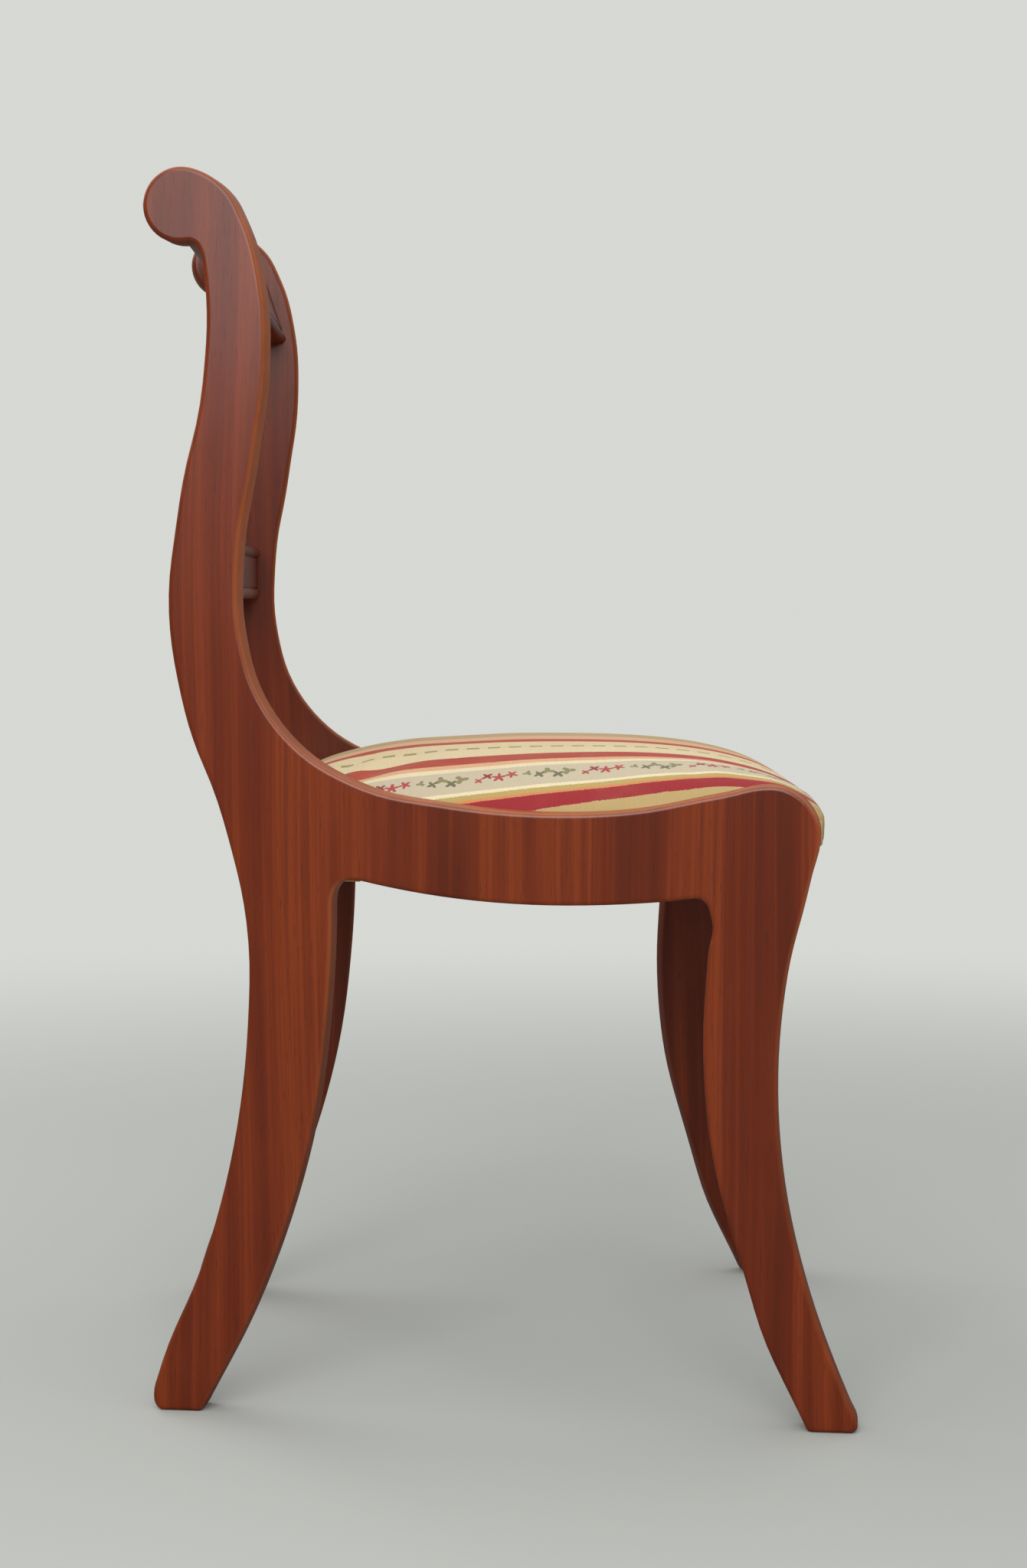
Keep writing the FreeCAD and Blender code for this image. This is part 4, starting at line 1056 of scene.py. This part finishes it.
for number, x in enumerate(LENGTHWISE_X):
    run = folded_run(WEB_FRONT, WEB_BACK, lambda y: weave_level(y, CROSSWISE_Y, number % 2))
    rows = [[(x + WEB_HALF * part, y, z) for part in ACROSS] for y, z in run]
    finish_band("lengthwise", number, rows, WEB_BACK - WEB_FRONT)
for number, y in enumerate(CROSSWISE_Y):
    reach = side_reach(y)
    run = folded_run(-reach, reach, lambda x: weave_level(x, LENGTHWISE_X, (number + 1) % 2))
    slant = [side_reach(y + WEB_HALF * part) / reach for part in ACROSS]
    rows = [[(x * wide, y + WEB_HALF * part, z) for part, wide in zip(ACROSS, slant)] for x, z in run]
    finish_band("crosswise", number, rows, 2 * reach)


# %% Build the hessian and the dust cover
HESSIAN_Z, HESSIAN_DIP = 0.4139, 0.25 * MM
LINING_Z, LINING_SAG = 0.3927, 4.0 * MM


def add_trapezium(mesh, front, back, half_front, half_back, height_at, cells=26):
    """An even grid between two straight sides that come nearer towards the back."""
    rows = []
    for i in range(cells + 1):
        y = front + (back - front) * i / cells
        half = half_front + (half_back - half_front) * i / cells
        rows.append([(half * (2 * k / cells - 1), y, height_at(half * (2 * k / cells - 1), y))
                     for k in range(cells + 1)])
    add_band(mesh, rows)
    return (back - front) * (half_front + half_back)


def hessian_height(x, y):
    """Level over the bands, a little lower in the gaps between them."""
    over = min(min(abs(x - place) for place in LENGTHWISE_X), min(abs(y - place) for place in CROSSWISE_Y))
    return HESSIAN_Z - HESSIAN_DIP * min(1.0, max(0.0, (over - WEB_HALF) / (10 * MM)))


def lining_height(x, y):
    """Flat where it is tacked, hanging a little in the open middle of the seat."""
    wide = max(0.0, 1 - (x / 0.135) ** 2)
    long = max(0.0, 1 - ((y + 0.033) / 0.13) ** 2)
    return LINING_Z - LINING_SAG * wide * long


mesh = bmesh.new()
area = add_trapezium(mesh, -0.2104, 0.1435, 0.2087, 0.1590, hessian_height)
hessian = finish_sheet("hessian_sheet", mesh, hessian_cloth, "hessian", 0.7 * MM)
mesh = bmesh.new()
area = add_trapezium(mesh, -0.2134, 0.1465, 0.2122, 0.1615, lining_height)
lining = finish_sheet("dust_cover_sheet", mesh, black_lining, "dust_cover", 0.6 * MM)
print("hessian and dust cover:", len(hessian.data.polygons), len(lining.data.polygons), "faces")


# %% [markdown]
# ## Tacks and screws
#
# Small fasteners repeat, so Geometry Nodes places them. Tacks follow lines under the seat, a fixed
# distance apart. Screws stand on marked points of the bearers and blocks, each with its slot left
# where the driver left it, so a seeded random turn goes with every screw.

# %% Make one tack head and one screw head
def make_template(name, mesh):
    data = mesh_data(name, mesh)
    smooth_below(data, 35)
    print(name, "faces:", len(data.polygons))
    return bpy.data.objects.new(name, data)


def lathed(profile, sides):
    """Turns (radius, height) points in millimetres round Z; the first one is on the axis."""
    mesh = bmesh.new()
    top = mesh.verts.new((0, 0, profile[0][1] * MM))
    rings = [[mesh.verts.new(point) for point in circle(radius * MM, height * MM, sides)]
             for radius, height in profile[1:]]
    for k in range(sides):
        mesh.faces.new((top, rings[0][k], rings[0][(k + 1) % sides]))
    for near, far in zip(rings, rings[1:]):
        for k in range(sides):
            mesh.faces.new((near[k], far[k], far[(k + 1) % sides], near[(k + 1) % sides]))
    mesh.faces.new(rings[-1][::-1])
    bmesh.ops.recalc_face_normals(mesh, faces=mesh.faces)
    return mesh


def cut_slot(mesh, half_width, depth):
    """A straight slot across the top: the strip between two cuts is pushed down."""
    for side in (half_width, -half_width):
        bmesh.ops.bisect_plane(mesh, geom=mesh.verts[:] + mesh.edges[:] + mesh.faces[:],
                               plane_co=(0, side, 0), plane_no=(0, 1, 0))
    strip = [f for f in mesh.faces if abs(f.calc_center_median().y) < half_width and f.normal.z > 0.3]
    made = bmesh.ops.extrude_face_region(mesh, geom=strip)
    moved = [v for v in made["geom"] if isinstance(v, bmesh.types.BMVert)]
    bmesh.ops.delete(mesh, geom=strip, context="FACES_ONLY")
    bmesh.ops.translate(mesh, verts=moved, vec=(0, 0, -depth))
    bmesh.ops.recalc_face_normals(mesh, faces=mesh.faces)
    return mesh


TACK_PROFILE = [(0, 0.9), (1.6, 0.8), (2.9, 0.5), (3.6, 0.1), (3.6, -0.1)]
SCREW_PROFILE = [(0, 0.35), (2.4, 0.32), (3.9, 0.15), (4.2, -0.1), (4.0, -1.2)]
tack_head = make_template("tack_head", lathed(TACK_PROFILE, 16))
screw_head = make_template("screw_head", cut_slot(lathed(SCREW_PROFILE, 24), half_width=0.45 * MM,
                                                  depth=0.9 * MM))


# %% Geometry Nodes that place them
def new_geometry_group(name, inputs):
    tree = bpy.data.node_groups.new(name, "GeometryNodeTree")
    tree.interface.new_socket("Geometry", in_out="INPUT", socket_type="NodeSocketGeometry")
    sockets = {label: tree.interface.new_socket(label, in_out="INPUT", socket_type="NodeSocket" + kind)
               for label, kind in inputs.items()}
    tree.interface.new_socket("Geometry", in_out="OUTPUT", socket_type="NodeSocketGeometry")
    return tree, add_node(tree, "NodeGroupInput").outputs, add_node(tree, "NodeGroupOutput"), sockets


def set_on_points(tree, given, put, points, head, turned, size=(1.0, 1.0, 1.0)):
    """Puts a copy of the head on every point, makes them one mesh and gives it its material."""
    shape = add_node(tree, "GeometryNodeObjectInfo", {"Object": head}).outputs["Geometry"]
    copies = add_node(tree, "GeometryNodeInstanceOnPoints", {"Points": points, "Instance": shape,
                                                             "Rotation": turned, "Scale": size})
    whole = add_node(tree, "GeometryNodeRealizeInstances", {0: copies.outputs[0]}).outputs[0]
    paint = add_node(tree, "GeometryNodeSetMaterial", {"Geometry": whole, "Material": given["Material"]})
    feed(tree, put, {0: paint.outputs[0]})


def make_tack_lines():
    tree, given, put, sockets = new_geometry_group(
        "tack_lines", {"Tack": "Object", "Spacing": "Float", "Seed": "Int", "Material": "Material"})
    curve = add_node(tree, "GeometryNodeMeshToCurve", {0: given["Geometry"]}).outputs[0]
    evenly = add_node(tree, "GeometryNodeResampleCurve", {"Curve": curve, "Length": given["Spacing"]},
                      mode="LENGTH").outputs[0]
    points = add_node(tree, "GeometryNodeCurveToPoints", {"Curve": evenly},
                      mode="EVALUATED").outputs["Points"]
    size = add_node(tree, "FunctionNodeRandomValue", {2: 0.92, 3: 1.06, "Seed": given["Seed"]},
                    data_type="FLOAT").outputs[1]
    turned = add_node(tree, "FunctionNodeEulerToRotation", {0: (math.pi, 0, 0)}).outputs[0]
    set_on_points(tree, given, put, points, given["Tack"], turned, size)
    return tree, sockets


def make_screw_places():
    tree, given, put, sockets = new_geometry_group(
        "screw_places", {"Screw": "Object", "Seed": "Int", "Material": "Material"})
    points = add_node(tree, "GeometryNodeMeshToPoints", {0: given["Geometry"]}).outputs[0]
    facing = add_node(tree, "GeometryNodeInputNamedAttribute", {"Name": "facing"},
                      data_type="FLOAT_VECTOR").outputs[0]
    aimed = add_node(tree, "FunctionNodeAlignRotationToVector", {"Vector": facing}, axis="Z").outputs[0]
    turn = add_node(tree, "FunctionNodeRandomValue", {2: 0.0, 3: math.pi, "Seed": given["Seed"]},
                    data_type="FLOAT").outputs[1]
    spin = add_node(tree, "FunctionNodeAxisAngleToRotation", {"Angle": turn}).outputs[0]
    spun = add_node(tree, "FunctionNodeRotateRotation", {0: aimed, 1: spin},
                    rotation_space="LOCAL").outputs[0]
    set_on_points(tree, given, put, points, given["Screw"], spun)
    return tree, sockets


def grown(name, data, group, values):
    """Runs a node group on a mesh and returns its result as a plain mesh object."""
    tree, sockets = group
    piece = put_in_scene(name, data)
    modifier = piece.modifiers.new(tree.name, "NODES")
    modifier.node_group = tree
    for label, value in values.items():
        modifier[sockets[label].identifier] = value
    piece.data = finished(piece)
    return piece


# %% Place the tacks and the screws
TACK_Z = 0.3924
TACK_SPACING = 0.028
SEAT_MIDDLE = Vector((0, -0.02, 0.38))
BLOCK_STEP = 11 * MM
TACK_LINES = [[(-0.196, -0.2045), (0.196, -0.2045)], [(-0.108, 0.125), (0.108, 0.125)],
              [(-0.1760, -0.112), (-0.1480, 0.088)], [(0.1760, -0.112), (0.1480, 0.088)]]
path = bpy.data.meshes.new("tack_path")
path.from_pydata([(x, y, TACK_Z) for line in TACK_LINES for x, y in line],
                 [(2 * k, 2 * k + 1) for k in range(len(TACK_LINES))], [])
tacks = grown("dust_cover_tacks", path, make_tack_lines(),
              {"Tack": tack_head, "Spacing": TACK_SPACING, "Seed": 3, "Material": polished_brass})
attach(tacks, SEAT_BODY)
print("tack faces:", len(tacks.data.polygons))


def screw_points():
    """Three screws in each bearer and two in each corner block, as (point, facing)."""
    places = []
    for name, sign in (("seat_bearer_right", -1), ("seat_bearer_left", 1)):
        low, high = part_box(name)
        outward, along = board_axes(sign)
        inner = min(v.co.dot(outward) for v in nodes[name].data.vertices)
        for share in (0.14, 0.5, 0.86):
            y = low.y + (high.y - low.y) * share
            point = outward * inner + along * (y / math.cos(SPLAY) - inner * math.tan(SPLAY))
            point.z = (low.z + high.z) / 2
            places.append((point, -outward))
    for name in (n for n in nodes if n.startswith("corner_block")):
        mesh = merged_copy(name)
        bmesh.ops.dissolve_limit(mesh, angle_limit=0.01, verts=mesh.verts, edges=mesh.edges)
        upright = [f for f in mesh.faces if abs(f.normal.z) < 0.1 and f.calc_area() > 5e-4]
        inwards = {f: (SEAT_MIDDLE - f.calc_center_median()).normalized() for f in upright}
        face = max(upright, key=lambda f: f.normal.dot(inwards[f]))
        side = Vector((-face.normal.y, face.normal.x, 0))
        centre = face.calc_center_median()
        for step in (-BLOCK_STEP, BLOCK_STEP):
            places.append((centre + side * step, face.normal.copy()))
        mesh.free()
    return places


screws_at = screw_points()
marks = bpy.data.meshes.new("screw_marks")
marks.from_pydata([point for point, facing in screws_at], [], [])
layer = marks.attributes.new("facing", "FLOAT_VECTOR", "POINT")
layer.data.foreach_set("vector", [part for point, facing in screws_at for part in facing])
screws = grown("slotted_screws", marks, make_screw_places(),
               {"Screw": screw_head, "Seed": 7, "Material": polished_brass})
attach(screws, FRAME_BODY)
for template in (tack_head, screw_head):
    bpy.data.objects.remove(template)
print("screws:", len(screws_at), "faces:", len(screws.data.polygons))
